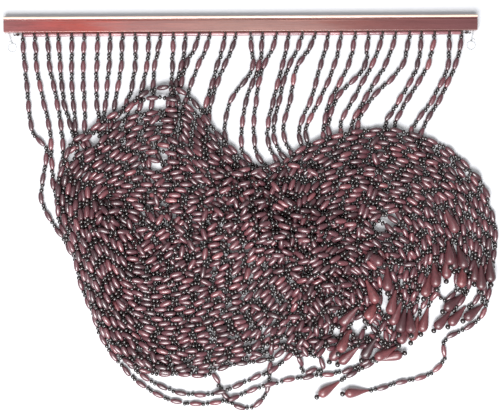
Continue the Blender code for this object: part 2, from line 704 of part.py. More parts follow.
def build_loop(name, ring_x, stem_x, mat):
    """A hanging loop: a closed ring of wire on the surface and a stem from it to the bar."""
    z = WIRE / 2 + 0.0001
    turns = np.arange(24) * math.tau / 24
    ring = bmesh.new()
    circle = [(ring_x + RING_RADIUS * math.cos(a), RING_Y + RING_RADIUS * math.sin(a), z) for a in turns]
    tube(ring, circle, True)
    loop = add_object(name, ring, mat)
    reach = np.array((stem_x - ring_x, -GAP - RING_Y))
    reach *= (RING_RADIUS - WIRE / 4) / np.linalg.norm(reach)
    stem = bmesh.new()
    near = (ring_x + reach[0], RING_Y + reach[1])
    mid = (0.5 * (near[0] + stem_x), 0.5 * (near[1] - GAP), z + 0.0006)
    tube(stem, [(*near, z + 0.0002), mid, (stem_x, -0.0045, 0.0030), (stem_x, -GAP, 0.0042)], False)
    guide = add_object(name + "_stem_guide", stem, mat)
    guide.hide_render = True
    guide.display_type = "WIRE"
    union = loop.modifiers.new("stem", "BOOLEAN")
    union.operation = "UNION"
    union.solver = "EXACT"
    union.object = guide
    return loop


def centre_on_floor(obs):
    """Move the whole object so that the middle of its box stands over the origin."""
    bpy.context.view_layer.update()
    graph = bpy.context.evaluated_depsgraph_get()
    corners = []
    for ob in obs:
        mesh = ob.evaluated_get(graph).to_mesh()
        corners += [v.co.copy() for v in mesh.vertices]
    box = np.array(corners)
    middle = (box.min(axis=0) + box.max(axis=0)) / 2
    for ob in bpy.data.objects:
        ob.data.transform(Matrix.Translation((-middle[0], -middle[1], -box[:, 2].min())))
        ob.data.update()


def main():
    """Build the curtain and its bar."""
    clear_scene()
    wood = material("lacquered_wood", (0.30, 0.055, 0.045), 0.25)
    beads = material("beads", (0.14, 0.035, 0.040), 0.35)
    wire = material("clear_line", (0.55, 0.57, 0.56), 0.2)
    made = [build_bar(wood), build_comb(beads)]
    made += [build_loop(name, ring_x, stem_x, wire) for name, ring_x, stem_x in LOOPS]
    centre_on_floor(made)


main()
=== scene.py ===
"""Bead curtain on a lacquered bar, laid down on a pale surface with every bead, thread, knot and spacer.

The 35 strands follow the routes of the construction model. They are laid one over another on a height map,
and then settled bead by bead until none lies inside another. Metres, +Z up, +Y towards the bar, and the
surface at Z = 0.
"""
from __future__ import annotations

import logging
import math
from collections.abc import Iterator, Sequence
from dataclasses import dataclass, field
from enum import Enum

import bpy
import numpy as np
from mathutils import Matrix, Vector

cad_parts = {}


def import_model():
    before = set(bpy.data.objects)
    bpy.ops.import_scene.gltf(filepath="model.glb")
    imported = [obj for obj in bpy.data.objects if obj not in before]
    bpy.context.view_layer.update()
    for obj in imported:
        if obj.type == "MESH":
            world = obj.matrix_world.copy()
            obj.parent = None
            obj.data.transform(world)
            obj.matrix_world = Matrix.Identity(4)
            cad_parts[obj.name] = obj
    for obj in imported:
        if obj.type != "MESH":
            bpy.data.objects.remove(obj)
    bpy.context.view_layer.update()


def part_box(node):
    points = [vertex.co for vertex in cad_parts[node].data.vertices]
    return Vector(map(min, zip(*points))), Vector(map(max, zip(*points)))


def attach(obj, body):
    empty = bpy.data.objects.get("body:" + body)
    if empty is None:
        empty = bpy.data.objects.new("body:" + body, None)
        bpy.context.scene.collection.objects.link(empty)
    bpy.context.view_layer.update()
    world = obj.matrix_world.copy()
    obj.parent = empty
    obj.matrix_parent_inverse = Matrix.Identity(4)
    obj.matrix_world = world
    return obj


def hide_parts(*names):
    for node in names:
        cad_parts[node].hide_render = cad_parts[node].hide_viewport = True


LOG = logging.getLogger("bead_curtain")
Colour = tuple[float, float, float]
Point = tuple[float, float, float]
Gate = tuple[float, float, float, float]

BODY = "root"
STRAND_LENGTH = 2.20
GRAIN_STEP = 0.37  # how far along the grain each turned shape starts from the one before
TINY = 1e-9

# How each strand hangs: a row for each, from left to right, in metres from the middle of the bar's lower
# edge.
# columns: X at the lacing row, then its drift along X at the three HANG_DEPTHS
HANG_DEPTHS = (0.068, 0.130, 0.193)
HANG = (
    (-0.416, 0.005, 0.010, 0.020),
    (-0.393, 0.004, 0.016, 0.029),
    (-0.369, 0.005, 0.018, 0.027),
    (-0.348, 0.004, 0.009, 0.026),
    (-0.322, -0.001, 0.002, 0.008),
    (-0.298, -0.003, -0.001, 0.001),
    (-0.272, -0.003, -0.003, -0.001),
    (-0.249, -0.003, -0.009, -0.014),
    (-0.225, -0.004, -0.014, -0.023),
    (-0.201, 0.000, -0.013, -0.018),
    (-0.175, -0.004, -0.020, -0.029),
    (-0.152, -0.014, -0.015, -0.027),
    (-0.128, -0.003, -0.001, -0.011),
    (-0.105, -0.006, -0.029, -0.038),
    (-0.079, -0.030, -0.045, -0.052),
    (-0.058, -0.025, -0.045, -0.054),
    (-0.029, -0.017, -0.034, -0.049),
    (-0.009, -0.024, -0.048, -0.060),
    (0.019, 0.004, -0.038, -0.051),
    (0.042, -0.008, -0.032, -0.041),
    (0.069, -0.027, -0.040, -0.045),
    (0.092, -0.014, -0.030, -0.043),
    (0.118, -0.028, -0.045, -0.057),
    (0.143, -0.036, -0.049, -0.064),
    (0.168, -0.017, -0.034, -0.060),
    (0.192, -0.015, -0.041, -0.072),
    (0.219, -0.015, -0.047, -0.063),
    (0.243, -0.007, -0.062, -0.081),
    (0.271, -0.023, -0.057, -0.089),
    (0.296, -0.022, -0.060, -0.089),
    (0.322, -0.015, -0.074, -0.111),
    (0.345, -0.008, -0.042, -0.077),
    (0.370, -0.014, -0.052, -0.083),
    (0.398, -0.003, -0.032, -0.073),
    (0.422, -0.013, -0.043, -0.076),
)

# The laid bundle, as gates that the strands pass in turn. A strand keeps its lane, 0 to 1, across a bend's
# gates.
# columns: X and Y of lane 0, X and Y of lane 1
GATES: dict[str, tuple[Gate, ...]] = {
    "arch": (  # right to left over the top of the left lobe, lane 0 outermost
        (0.012, -0.262, -0.015, -0.355),
        (-0.056, -0.187, -0.073, -0.343),
        (-0.096, -0.134, -0.112, -0.343),
        (-0.146, -0.112, -0.149, -0.343),
        (-0.206, -0.132, -0.186, -0.343),
        (-0.265, -0.172, -0.222, -0.344),
        (-0.333, -0.228, -0.258, -0.344),
    ),
    "turn": (  # down the left side and round the bottom, lane 0 outermost
        (-0.350, -0.324, -0.235, -0.365),
        (-0.308, -0.426, -0.225, -0.392),
        (-0.270, -0.544, -0.212, -0.405),
        (-0.222, -0.617, -0.196, -0.405),
        (-0.157, -0.651, -0.174, -0.388),
        (-0.033, -0.636, -0.125, -0.350),
    ),
    "cross": (  # up across the middle, lane 0 lowest
        (0.082, -0.597, -0.056, -0.315),
        (0.145, -0.546, 0.013, -0.275),
    ),
    "lobe": (  # over the right lobe and down to the ends, lane 0 outermost
        (0.112, -0.226, 0.120, -0.531),
        (0.280, -0.185, 0.167, -0.483),
        (0.414, -0.239, 0.196, -0.503),
        (0.480, -0.371, 0.200, -0.541),
        (0.464, -0.494, 0.184, -0.590),
        (0.412, -0.588, 0.155, -0.628),
        (0.335, -0.650, 0.110, -0.658),
    ),
}
LANE_WANDER = {"arch": 0.030, "turn": 0.022, "cross": 0.026, "lobe": 0.022}

# Loose strands that leave their lane: the points that stand in for some of a bend's gates.
# columns: strand, bend, first gate replaced, first gate kept again, points
STRAYS = (
    (0, "turn", 0, 2, (
        (-0.373, -0.218), (-0.379, -0.281), (-0.381, -0.324), (-0.353, -0.372), (-0.323, -0.414),
    )),
    (1, "turn", 0, 1, ((-0.362, -0.243), (-0.353, -0.300))),
    (1, "turn", 5, 6, (
        (-0.100, -0.651), (-0.054, -0.652), (-0.041, -0.686), (0.001, -0.718), (0.035, -0.705),
        (0.053, -0.663),
    )),
    (3, "cross", 0, 1, (
        (0.064, -0.625), (0.077, -0.658), (0.096, -0.681), (0.125, -0.689), (0.150, -0.670),
        (0.152, -0.626),
    )),
    (6, "turn", 0, 1, (
        (-0.314, -0.249), (-0.353, -0.300), (-0.307, -0.332), (-0.231, -0.344), (-0.178, -0.346),
        (-0.174, -0.381), (-0.224, -0.392), (-0.285, -0.372),
    )),
    (10, "cross", 0, 2, (
        (-0.064, -0.343), (-0.029, -0.347), (-0.003, -0.376), (0.048, -0.382), (0.111, -0.388),
    )),
    (10, "lobe", 0, 1, ((0.174, -0.394), (0.216, -0.350))),
    (12, "cross", 0, 2, ((-0.140, -0.348), (-0.149, -0.305), (-0.103, -0.282), (0.049, -0.277))),
    (12, "lobe", 0, 3, ((0.174, -0.303), (0.302, -0.298), (0.384, -0.323))),
    (14, "cross", 0, 2, ((-0.136, -0.438), (-0.080, -0.480), (-0.023, -0.498), (0.034, -0.502))),
    (14, "lobe", 0, 1, ((0.143, -0.498), (0.197, -0.440))),
    (16, "lobe", 4, 7, (
        (0.473, -0.470), (0.455, -0.548), (0.385, -0.592), (0.386, -0.622), (0.361, -0.652),
        (0.294, -0.672), (0.256, -0.683), (0.190, -0.690),
    )),
    (17, "arch", 1, 5, (
        (-0.060, -0.176), (-0.087, -0.134), (-0.122, -0.106), (-0.170, -0.108), (-0.212, -0.142),
    )),
    (17, "turn", 2, 6, (
        (-0.290, -0.510), (-0.242, -0.620), (-0.180, -0.681), (-0.112, -0.708), (-0.039, -0.705),
    )),
    (17, "cross", 0, 2, ((0.030, -0.679), (0.110, -0.660))),
    (17, "lobe", 0, 7, ((0.195, -0.649), (0.285, -0.615), (0.357, -0.600), (0.434, -0.570))),
    (18, "turn", 3, 6, ((-0.218, -0.628), (-0.160, -0.674), (-0.071, -0.693))),
    (18, "cross", 0, 1, ((0.030, -0.656), (0.091, -0.618))),
)

# Outline of the heap within which its strands have slid apart until hardly any of the surface shows.
# columns: X, Y
OUTLINE = (
    (-0.009, -0.256), (-0.035, -0.222), (-0.066, -0.176), (-0.094, -0.152), (-0.126, -0.144),
    (-0.164, -0.144), (-0.208, -0.157), (-0.254, -0.178), (-0.294, -0.201), (-0.313, -0.252),
    (-0.317, -0.319), (-0.311, -0.376), (-0.311, -0.414), (-0.305, -0.462), (-0.288, -0.515),
    (-0.265, -0.572), (-0.241, -0.607), (-0.172, -0.653), (-0.077, -0.651), (-0.016, -0.636),
    (0.060, -0.629), (0.098, -0.607), (0.113, -0.660), (0.167, -0.656), (0.199, -0.638),
    (0.265, -0.634), (0.296, -0.630), (0.361, -0.608), (0.382, -0.547), (0.463, -0.528),
    (0.475, -0.456), (0.479, -0.380), (0.475, -0.323), (0.448, -0.268), (0.402, -0.237),
    (0.342, -0.204), (0.284, -0.185), (0.208, -0.190), (0.113, -0.220), (0.049, -0.260),
)

# Strands laid late over their neighbours: strand, metres of strand that the others are ahead of it.
LAID_LATE = {6: 0.75, 10: 0.45, 12: 0.55, 14: 0.45}


class Slot(Enum):
    """The finishes on a strand and on its drop, in the order of their material slots."""

    TURNED = 0
    ROUND = 1
    THREAD = 2


def unit(vectors: np.ndarray) -> np.ndarray:
    """The vectors at length one."""
    return vectors / np.maximum(np.linalg.norm(vectors, axis=-1, keepdims=True), TINY)


# ---------------------------------------------------------------- strand routes


@dataclass
class LaidRoutes:
    """The flat route of each strand, from the lacing row to its end."""

    origin: np.ndarray
    row_half: float = 0.0036
    start_drift: float = 0.35
    start_depth: float = 0.5
    left_strands: int = 17
    # the lanes of the first and the last strand of each half, and those kept free inside the right lobe
    left_turn_lanes: tuple[float, float] = (0.07, 0.87)
    left_lobe_lanes: tuple[float, float] = (0.56, 0.0)
    right_lobe_lanes: tuple[float, float] = (1.0, 0.36)
    lobe_hole: tuple[float, float] = (0.55, 0.67)
    wander_seed: int = 300
    wander_limit: float = 1.6
    # slack: how far the bends under the heap are drawn out, and how long the routes are to be
    slack_steps: int = 31
    slack_most: float = 3.0
    route_spare: float = -0.035
    end_spread: float = 0.18
    # the bends under the heap, and those of the strands whose bends come late, under the right lobe
    bend_half: float = 0.019
    bend_top: float = -0.300
    bend_depth: float = 0.110
    entry_y: float = -0.246
    entry_shift: float = 0.008
    left_bend_x: tuple[float, float] = (-0.262, 0.020)
    valley_x: float = 0.125
    right_bend_share: float = 1.12
    late_bends: tuple[int, ...] = (0, 1, 2, 3, 6)
    late_bend_x: tuple[float, float] = (0.115, 0.180)
    late_bend_top: float = -0.440
    late_bend_depth: float = 0.055
    late_bend_pitch: float = 0.042
    late_bend_count: int = 4
    step: float = 0.002
    curve_points: int = 1500
    end_points: int = 10

    def lane_point(self, gate: Gate, lane: float) -> tuple[float, float]:
        """The point of a gate at a lane."""
        x0, y0, x1, y1 = gate
        return (x0 + (x1 - x0) * lane, y0 + (y1 - y0) * lane)

    def hanging_points(self, k: int) -> list[tuple[float, float]]:
        """A strand's points from the lacing row to the edge of the heap.

        Args:
            k: the strand's number.

        Returns:
            The points, from the top.
        """
        x, *drifts = HANG[k]
        start = (x + self.start_drift * drifts[0], -self.start_depth * HANG_DEPTHS[0])
        lower = [(x + drift, -depth) for drift, depth in zip(drifts, HANG_DEPTHS)]
        return [(x, -self.row_half), start] + lower

    def bend_points(self, x: float, y: float) -> list[tuple[float, float]]:
        """A hairpin bend with its foot at a point, entered from the right."""
        half = self.bend_half
        return [(x + half, y + half), (x, y), (x - half, y + half)]

    def hidden_points(self, k: int, foot: tuple[float, float], slack: float) -> list[tuple[float, float]]:
        """A strand's way under the heap, from its foot over a slack bend to its first gate.

        Args:
            k: the strand's number.
            foot: where it goes under the heap.
            slack: how far its bend is drawn out.

        Returns:
            The points of that way, and none for a strand whose bend comes late.
        """
        if k in self.late_bends:
            return []
        x = foot[0]
        if k < self.left_strands:
            low, high = self.left_bend_x
            place = low + (high - low) * k / (self.left_strands - 1)
        else:
            place = max(self.valley_x + self.right_bend_share * (x - self.valley_x), self.valley_x)
        entry = (x + self.entry_shift, self.entry_y)
        return [entry] + self.bend_points(place, self.bend_top - self.bend_depth * slack)

    def late_points(self, k: int, slack: float) -> list[tuple[float, float]]:
        """The slack bends under the right lobe of a strand that runs straight into the turn.

        Args:
            k: the strand's number.
            slack: how far its bends are drawn out.

        Returns:
            The points, and none for a strand whose bend comes early.
        """
        if k not in self.late_bends:
            return []
        low, high = self.late_bend_x
        place = low + (high - low) * self.late_bends.index(k) / (len(self.late_bends) - 1)
        places = place + self.late_bend_pitch * np.arange(self.late_bend_count)
        y = self.late_bend_top - self.late_bend_depth * slack
        return [point for x in places for point in self.bend_points(x, y)[::-1]]

    def lanes(self, k: int) -> dict[str, float]:
        """A strand's lane in each bend.

        Args:
            k: the strand's number.

        Returns:
            The lane, 0 to 1, by the bend's name.
        """
        if k < self.left_strands:
            share = k / (self.left_strands - 1)
            (first, last), (start, end) = self.left_turn_lanes, self.left_lobe_lanes
            turn = first + (last - first) * share
        else:
            share = (k - self.left_strands) / (len(HANG) - 1 - self.left_strands)
            start, end = self.right_lobe_lanes
            turn = share
        lobe = start + (end - start) * share
        low, high = self.lobe_hole
        if low < lobe < high:
            lobe = low if lobe < (low + high) / 2 else high
        return {"arch": turn, "turn": turn, "cross": turn, "lobe": lobe}

    def points(self, k: int, slack: float) -> np.ndarray:
        """All the points that a strand's route runs through.

        Args:
            k: the strand's number.
            slack: how far its slack bends are drawn out.

        Returns:
            The points, one row each.
        """
        wander = np.random.RandomState(self.wander_seed + k)
        lane = self.lanes(k)
        points = self.hanging_points(k)
        points += self.hidden_points(k, points[-1], slack)
        for bend, gates in GATES.items():
            if bend == "arch" and k < self.left_strands:
                continue
            if bend == "lobe":
                points += self.late_points(k, slack)
            strays = {row[2]: row for row in STRAYS if row[0] == k and row[1] == bend}
            i = 0
            while i < len(gates):
                shift = LANE_WANDER[bend] * np.clip(wander.randn(), -self.wander_limit, self.wander_limit)
                if i in strays:
                    points += strays[i][4]
                    i = strays[i][3]
                else:
                    points.append(self.lane_point(gates[i], min(max(lane[bend] + shift, 0.0), 1.0)))
                    i += 1
        return np.array(points)

    def smooth(self, points: np.ndarray) -> np.ndarray:
        """A smooth curve through the points, as points one step apart.

        Cubic Hermite spans, whose slopes come from the neighbouring points, over knots spaced by the square
        root of the distance between the points.

        Args:
            points: the route's own points.

        Returns:
            The curve's points.
        """
        gaps = np.hypot(*np.diff(points, axis=0).T)
        knots = np.concatenate([[0.0], np.cumsum(np.sqrt(gaps))])
        slopes = np.gradient(points, knots, axis=0)
        u = np.linspace(0.0, knots[-1], self.curve_points)
        span = np.clip(np.searchsorted(knots, u, side="right") - 1, 0, len(gaps) - 1)
        h = (knots[span + 1] - knots[span])[:, None]
        s = (u - knots[span])[:, None] / h
        curve = (
            (2 * s**3 - 3 * s**2 + 1) * points[span]
            + (s**3 - 2 * s**2 + s) * h * slopes[span]
            + (3 * s**2 - 2 * s**3) * points[span + 1]
            + (s**3 - s**2) * h * slopes[span + 1]
        )
        along = np.concatenate([[0.0], np.cumsum(np.hypot(*np.diff(curve, axis=0).T))])
        stations = np.arange(0.0, along[-1], self.step)
        return np.stack([np.interp(stations, along, curve[:, i]) for i in (0, 1)], axis=1)

    def resampled(self, points: np.ndarray) -> np.ndarray:
        """A line as points one step apart, cut to a strand's length, or going straight on to it.

        Args:
            points: the line's points.

        Returns:
            The points one step apart.
        """
        way = points[-1] - points[-self.end_points]
        ahead = points[-1] + way / max(float(np.hypot(*way)), TINY) * STRAND_LENGTH
        points = np.concatenate([points, [ahead]])
        along = np.concatenate([[0.0], np.cumsum(np.hypot(*np.diff(points, axis=0).T))])
        stations = self.step * np.arange(int(STRAND_LENGTH / self.step))
        return np.stack([np.interp(stations, along, points[:, i]) for i in (0, 1)], axis=1)

    def route(self, k: int) -> np.ndarray:
        """A strand's route as it is laid, its slack raised until it is long enough.

        Args:
            k: the strand's number, which also says how much longer than the shortest its route is.

        Returns:
            The route's points, one step apart.
        """
        wanted = STRAND_LENGTH + self.route_spare + self.end_spread * ((k * 7) % 10) / 10
        best = None
        for slack in np.linspace(0.0, self.slack_most, self.slack_steps):
            route = self.smooth(self.points(k, slack))
            miss = abs(len(route) * self.step - wanted)
            if best is None or miss < best[0]:
                best = (miss, route)
            if len(route) * self.step >= wanted:
                break
        return self.resampled(best[1])

    def all_routes(self) -> list[np.ndarray]:
        """The routes of all the strands, after they have slid apart."""
        laid = [self.route(k) for k in range(len(HANG))]
        return [self.resampled(route) + self.origin for route in Spreading(self.step).spread(laid)]


@dataclass
class Spreading:
    """Slides laid strands sideways off each other, until hardly any surface is bare within the outline.

    A square grid holds the layers of strand over each small cell. The bare share of a cell is how far its
    layers fall short of enough, and a strand is pushed up the slope of the blurred bare share, across its own
    run only.
    """

    step: float
    low: tuple[float, float] = (-0.52, -0.80)
    high: tuple[float, float] = (0.56, 0.02)
    cell: float = 0.003
    width: float = 0.0100
    # columns: softness of the map, layers that count as enough, rounds, gain
    passes: tuple[tuple[float, float, int, float], ...] = (
        (0.025, 2.3, 20, 9.0e-5),
        (0.010, 1.8, 60, 6.0e-5),
        (0.0035, 1.3, 100, 2.5e-5),
    )
    # columns: X, Y and radius of a round place that the strands keep clear of
    gaps: tuple[tuple[float, float, float], ...] = (
        (0.262, -0.376, 0.010), (0.276, -0.365, 0.012), (0.290, -0.354, 0.010),
        (-0.277, -0.208, 0.008), (-0.163, -0.256, 0.009), (-0.150, -0.236, 0.007),
    )
    gap_push: float = 1.3
    held: float = 0.19
    stay: tuple[int, ...] = (0, 1, 16, 17, 18)
    ramp: float = 0.08
    window: int = 26

    @property
    def size(self) -> tuple[int, int]:
        """Columns and rows of the grid."""
        return tuple(np.ceil((np.array(self.high) - self.low) / self.cell).astype(int))

    @property
    def middles(self) -> tuple[np.ndarray, np.ndarray]:
        """X of the middle of each column, as a column, and Y of that of each row, as a row."""
        x, y = (self.low[i] + (np.arange(self.size[i]) + 0.5) * self.cell for i in (0, 1))
        return x[:, None], y[None, :]

    def blur(self, grid: np.ndarray, soft: float) -> np.ndarray:
        """A grid blurred by a Gaussian of a soft width along both of its sides.

        Args:
            grid: a value for each cell.
            soft: the spread of the Gaussian.

        Returns:
            The blurred values.
        """
        reach = int(np.ceil(3 * soft / self.cell))
        weights = np.exp(-0.5 * (np.arange(-reach, reach + 1) * self.cell / soft) ** 2)
        for _ in range(2):
            padded = np.pad(grid, ((reach, reach), (0, 0)))
            grid = sum(w * padded[i : i + len(grid)] for i, w in enumerate(weights / weights.sum())).T
        return grid

    def corners(self, points: np.ndarray) -> list[tuple[np.ndarray, np.ndarray, np.ndarray]]:
        """Column, row and share of each of the four cells round each point.

        Args:
            points: places on the surface.

        Returns:
            Four rows of columns, rows and shares.
        """
        place = (points - self.low) / self.cell - 0.5
        base = np.floor(place).astype(int)
        part = place - base
        shares = ((1 - part[:, 0], part[:, 0]), (1 - part[:, 1], part[:, 1]))
        return [(base[:, 0] + i, base[:, 1] + j, shares[0][i] * shares[1][j]) for i in (0, 1) for j in (0, 1)]

    def layers(self, routes: list[np.ndarray], soft: float) -> np.ndarray:
        """Layers of strand over each cell, blurred.

        Args:
            routes: each strand's points, one step apart.
            soft: the spread of the blur.

        Returns:
            Layers for each cell.
        """
        grid = np.zeros(self.size)
        for column, row, share in self.corners(np.concatenate(routes)):
            np.add.at(grid, (column, row), share)
        return self.blur(grid * self.step * self.width / self.cell**2, soft)

    def inside(self) -> np.ndarray:
        """Cells whose middle is inside the outline: those left of an odd number of its sides.

        Returns:
            True or False for each cell.
        """
        x, y = self.middles
        within = np.zeros(self.size, dtype=bool)
        for (x0, y0), (x1, y1) in zip(OUTLINE, OUTLINE[1:] + OUTLINE[:1]):
            if y0 != y1:
                beside = x < x0 + (y - y0) * (x1 - x0) / (y1 - y0)
                within ^= ((y0 > y) != (y1 > y)) & beside
        return within

    def clear(self) -> np.ndarray:
        """Cells whose middle is inside one of the gaps."""
        x, y = self.middles
        return np.any([np.hypot(x - a, y - b) < radius for a, b, radius in self.gaps], axis=0)

    def spread(self, routes: list[np.ndarray]) -> list[np.ndarray]:
        """Slide the strands apart.

        Args:
            routes: each strand's flat points, one step apart.

        Returns:
            The routes after sliding.
        """
        routes = [route.copy() for route in routes]
        counts = np.cumsum([len(route) for route in routes])[:-1]
        weights = np.hanning(2 * self.window + 3)[1:-1]
        weights /= weights.sum()
        within, clear = self.inside(), self.clear()
        for soft, enough, gain in [row[:2] + row[3:] for row in self.passes for _ in range(row[2])]:
            bare = np.where(within, np.clip(enough - self.layers(routes, soft), 0.0, None), 0.0)
            bare[clear] = -self.gap_push
            slopes = np.gradient(self.blur(bare, soft), self.cell)
            every = np.concatenate(routes)
            pushes = sum(
                share[:, None] * np.stack([slope[column, row] for slope in slopes], axis=1)
                for column, row, share in self.corners(every)
            )
            for k, (route, push) in enumerate(zip(routes, np.split(pushes, counts))):
                if k in self.stay:
                    continue
                along = unit(np.gradient(route, axis=0))
                push = push - along * (push * along).sum(axis=1, keepdims=True)
                push = np.pad(push, ((self.window, self.window), (0, 0)), mode="edge")
                push = np.stack([np.convolve(push[:, i], weights, "valid") for i in (0, 1)], axis=1)
                free = np.clip((np.arange(len(route)) * self.step - self.held) / self.ramp, 0.0, 1.0)
                route += gain * free[:, None] * push
        return routes


# ---------------------------------------------------------------- beads on a strand


@dataclass(frozen=True)
class BeadPattern:
    """The beads threaded on every strand, from its tie at the lacing row to its end bead."""

    oval_length: float = 0.0224
    oval_width: float = 0.0108
    oval_end: float = 0.0052
    round_width: float = 0.0088
    round_length: float = 0.0072
    hole: float = 0.0022
    play: float = 0.0002
    first_round: float = 0.0084
    repeats: int = 57
    drop_length: float = 0.0480
    drop_width: float = 0.0196
    end_bead: float = 0.0106
    end_inset: float = 0.0006
    tie_ball: float = 0.0015
    # columns: ball's distance from the oval bead's middle, its radius as a share of the bead's width
    oval_balls: tuple[tuple[float, float], ...] = ((-0.0070, 0.41), (0.0, 0.5), (0.0070, 0.41))
    # columns: ball's distance from the drop's neck, its radius
    drop_balls: tuple[tuple[float, float], ...] = (
        (0.006, 0.0037),
        (0.017, 0.0058),
        (0.028, 0.0084),
        (0.037, 0.0097),
    )

    @property
    def pitch(self) -> float:
        """Length of one repeat: an oval bead and two round ones."""
        return self.oval_length + 2 * self.round_length + 3 * self.play

    @property
    def oval_starts(self) -> np.ndarray:
        """Where each oval bead starts along the strand."""
        first = self.first_round + self.round_length / 2 + self.play
        return first + self.pitch * np.arange(self.repeats)

    @property
    def oval_places(self) -> np.ndarray:
        """Where the middle of each oval bead is along the strand."""
        return self.oval_starts + self.oval_length / 2

    @property
    def round_places(self) -> np.ndarray:
        """Where each round bead's middle is along the strand: one before the first oval, two after each.

        Returns:
            The distances, in order.
        """
        after = self.oval_starts + self.oval_length + self.play + self.round_length / 2
        pairs = np.stack([after, after + self.round_length + self.play], axis=1).ravel()
        return np.concatenate([[self.first_round], pairs])

    @property
    def drop_neck(self) -> float:
        """Where the drop starts along the strand."""
        return float(self.round_places[-1] + self.round_length / 2 + self.play)

    @property
    def end_place(self) -> float:
        """How far the middle of the end bead is from the drop's neck."""
        return self.drop_length + self.end_bead / 2 - self.end_inset

    def balls(self) -> tuple[np.ndarray, np.ndarray]:
        """The balls that stand for the beads while they settle.

        Returns:
            Their places along the strand and their radii, in order. The first is the tie in the lacing row.
        """
        oval, drop = np.array(self.oval_balls), np.array(self.drop_balls)
        ovals = self.oval_places[:, None] + oval[:, 0]
        places = np.concatenate([
            [0.0],
            self.round_places,
            ovals.ravel(),
            self.drop_neck + drop[:, 0],
            [self.drop_neck + self.drop_length + self.end_bead / 2 - self.end_inset],
        ])
        radii = np.concatenate([
            [self.tie_ball],
            np.full(len(self.round_places), self.round_width / 2),
            np.tile(self.oval_width * oval[:, 1], self.repeats),
            drop[:, 1],
            [self.end_bead / 2],
        ])
        order = np.argsort(places)
        return places[order], radii[order]


# ---------------------------------------------------------------- laying and settling


@dataclass
class LayerMap:
    """How many layers of strand have been laid over each place so far, on a square grid."""

    low: np.ndarray
    high: np.ndarray
    reach: float
    cell: float = 0.0025
    layers: np.ndarray = field(init=False)

    def __post_init__(self) -> None:
        """Start from the bare surface, and work out the soft round footprint of a point of strand."""
        self.layers = np.zeros(np.ceil((self.high - self.low) / self.cell).astype(int) + 1)
        span = np.arange(-int(self.reach / self.cell), int(self.reach / self.cell) + 1)
        dx, dy = (a.ravel() for a in np.meshgrid(span, span, indexing="ij"))
        weight = 1 - np.hypot(dx, dy) * self.cell / self.reach
        self.dx, self.dy, self.weight = dx[weight > 0], dy[weight > 0], weight[weight > 0]
        self.weight /= self.weight.sum() * self.cell**2

    def cells(self, points: np.ndarray) -> np.ndarray:
        """Row and column of the cell of each point."""
        return np.rint((points - self.low) / self.cell).astype(int)

    def under(self, points: np.ndarray) -> np.ndarray:
        """Layers under each point."""
        at = self.cells(points)
        return self.layers[at[:, 0], at[:, 1]]

    def lay(self, points: np.ndarray, area: float) -> None:
        """Add an area of strand at each point, spread over the footprint."""
        at = self.cells(points)
        np.add.at(self.layers, (at[:, :1] + self.dx, at[:, 1:] + self.dy), area * self.weight)


@dataclass
class Laying:
    """Lays the strands on the surface, those parts first that are nearest to the lacing row."""

    routes: list[np.ndarray]
    step: float
    radius: float = 0.0041
    width: float = 0.0080
    layer: float = 0.0070
    reach: float = 0.011
    block: int = 10
    slope: float = 0.40
    edge: float = 0.03
    lead: float = 0.0001

    def ramp(self, z: np.ndarray) -> np.ndarray:
        """Heights raised where they would fall away more steeply than the slope that a strand can take.

        Args:
            z: heights, one step apart.

        Returns:
            The raised heights.
        """
        fall = self.slope * self.step * np.arange(len(z))
        z = np.maximum.accumulate(z + fall) - fall
        back = z[::-1]
        return (np.maximum.accumulate(back + fall) - fall)[::-1]

    def heights(self) -> list[np.ndarray]:
        """Height of each point of each route.

        Returns:
            One array for each strand.
        """
        every = np.concatenate(self.routes)
        ground = LayerMap(every.min(axis=0) - self.edge, every.max(axis=0) + self.edge, self.reach)
        heights = [np.full(len(route), self.radius) for route in self.routes]
        turns = [
            (start * self.step + LAID_LATE.get(k, 0.0) + self.lead * k, k, start)
            for k, route in enumerate(self.routes)
            for start in range(0, len(route), self.block)
        ]
        for _, k, start in sorted(turns):
            part = self.routes[k][start : start + self.block]
            heights[k][start : start + self.block] += self.layer * ground.under(part)
            ground.lay(part, self.width * self.step)
        return [self.ramp(z) for z in heights]

    def spots(self, places: np.ndarray) -> np.ndarray:
        """Where the points at some places along the strands are, as laid.

        Args:
            places: distances along a strand from its tie, the same for every strand.

        Returns:
            The points: strand, place, X Y Z.
        """
        return np.stack([
            np.stack([
                np.interp(places, self.step * np.arange(len(flat)), values)
                for values in (flat[:, 0], flat[:, 1], z)
            ], axis=1)
            for flat, z in zip(self.routes, self.heights())
        ])


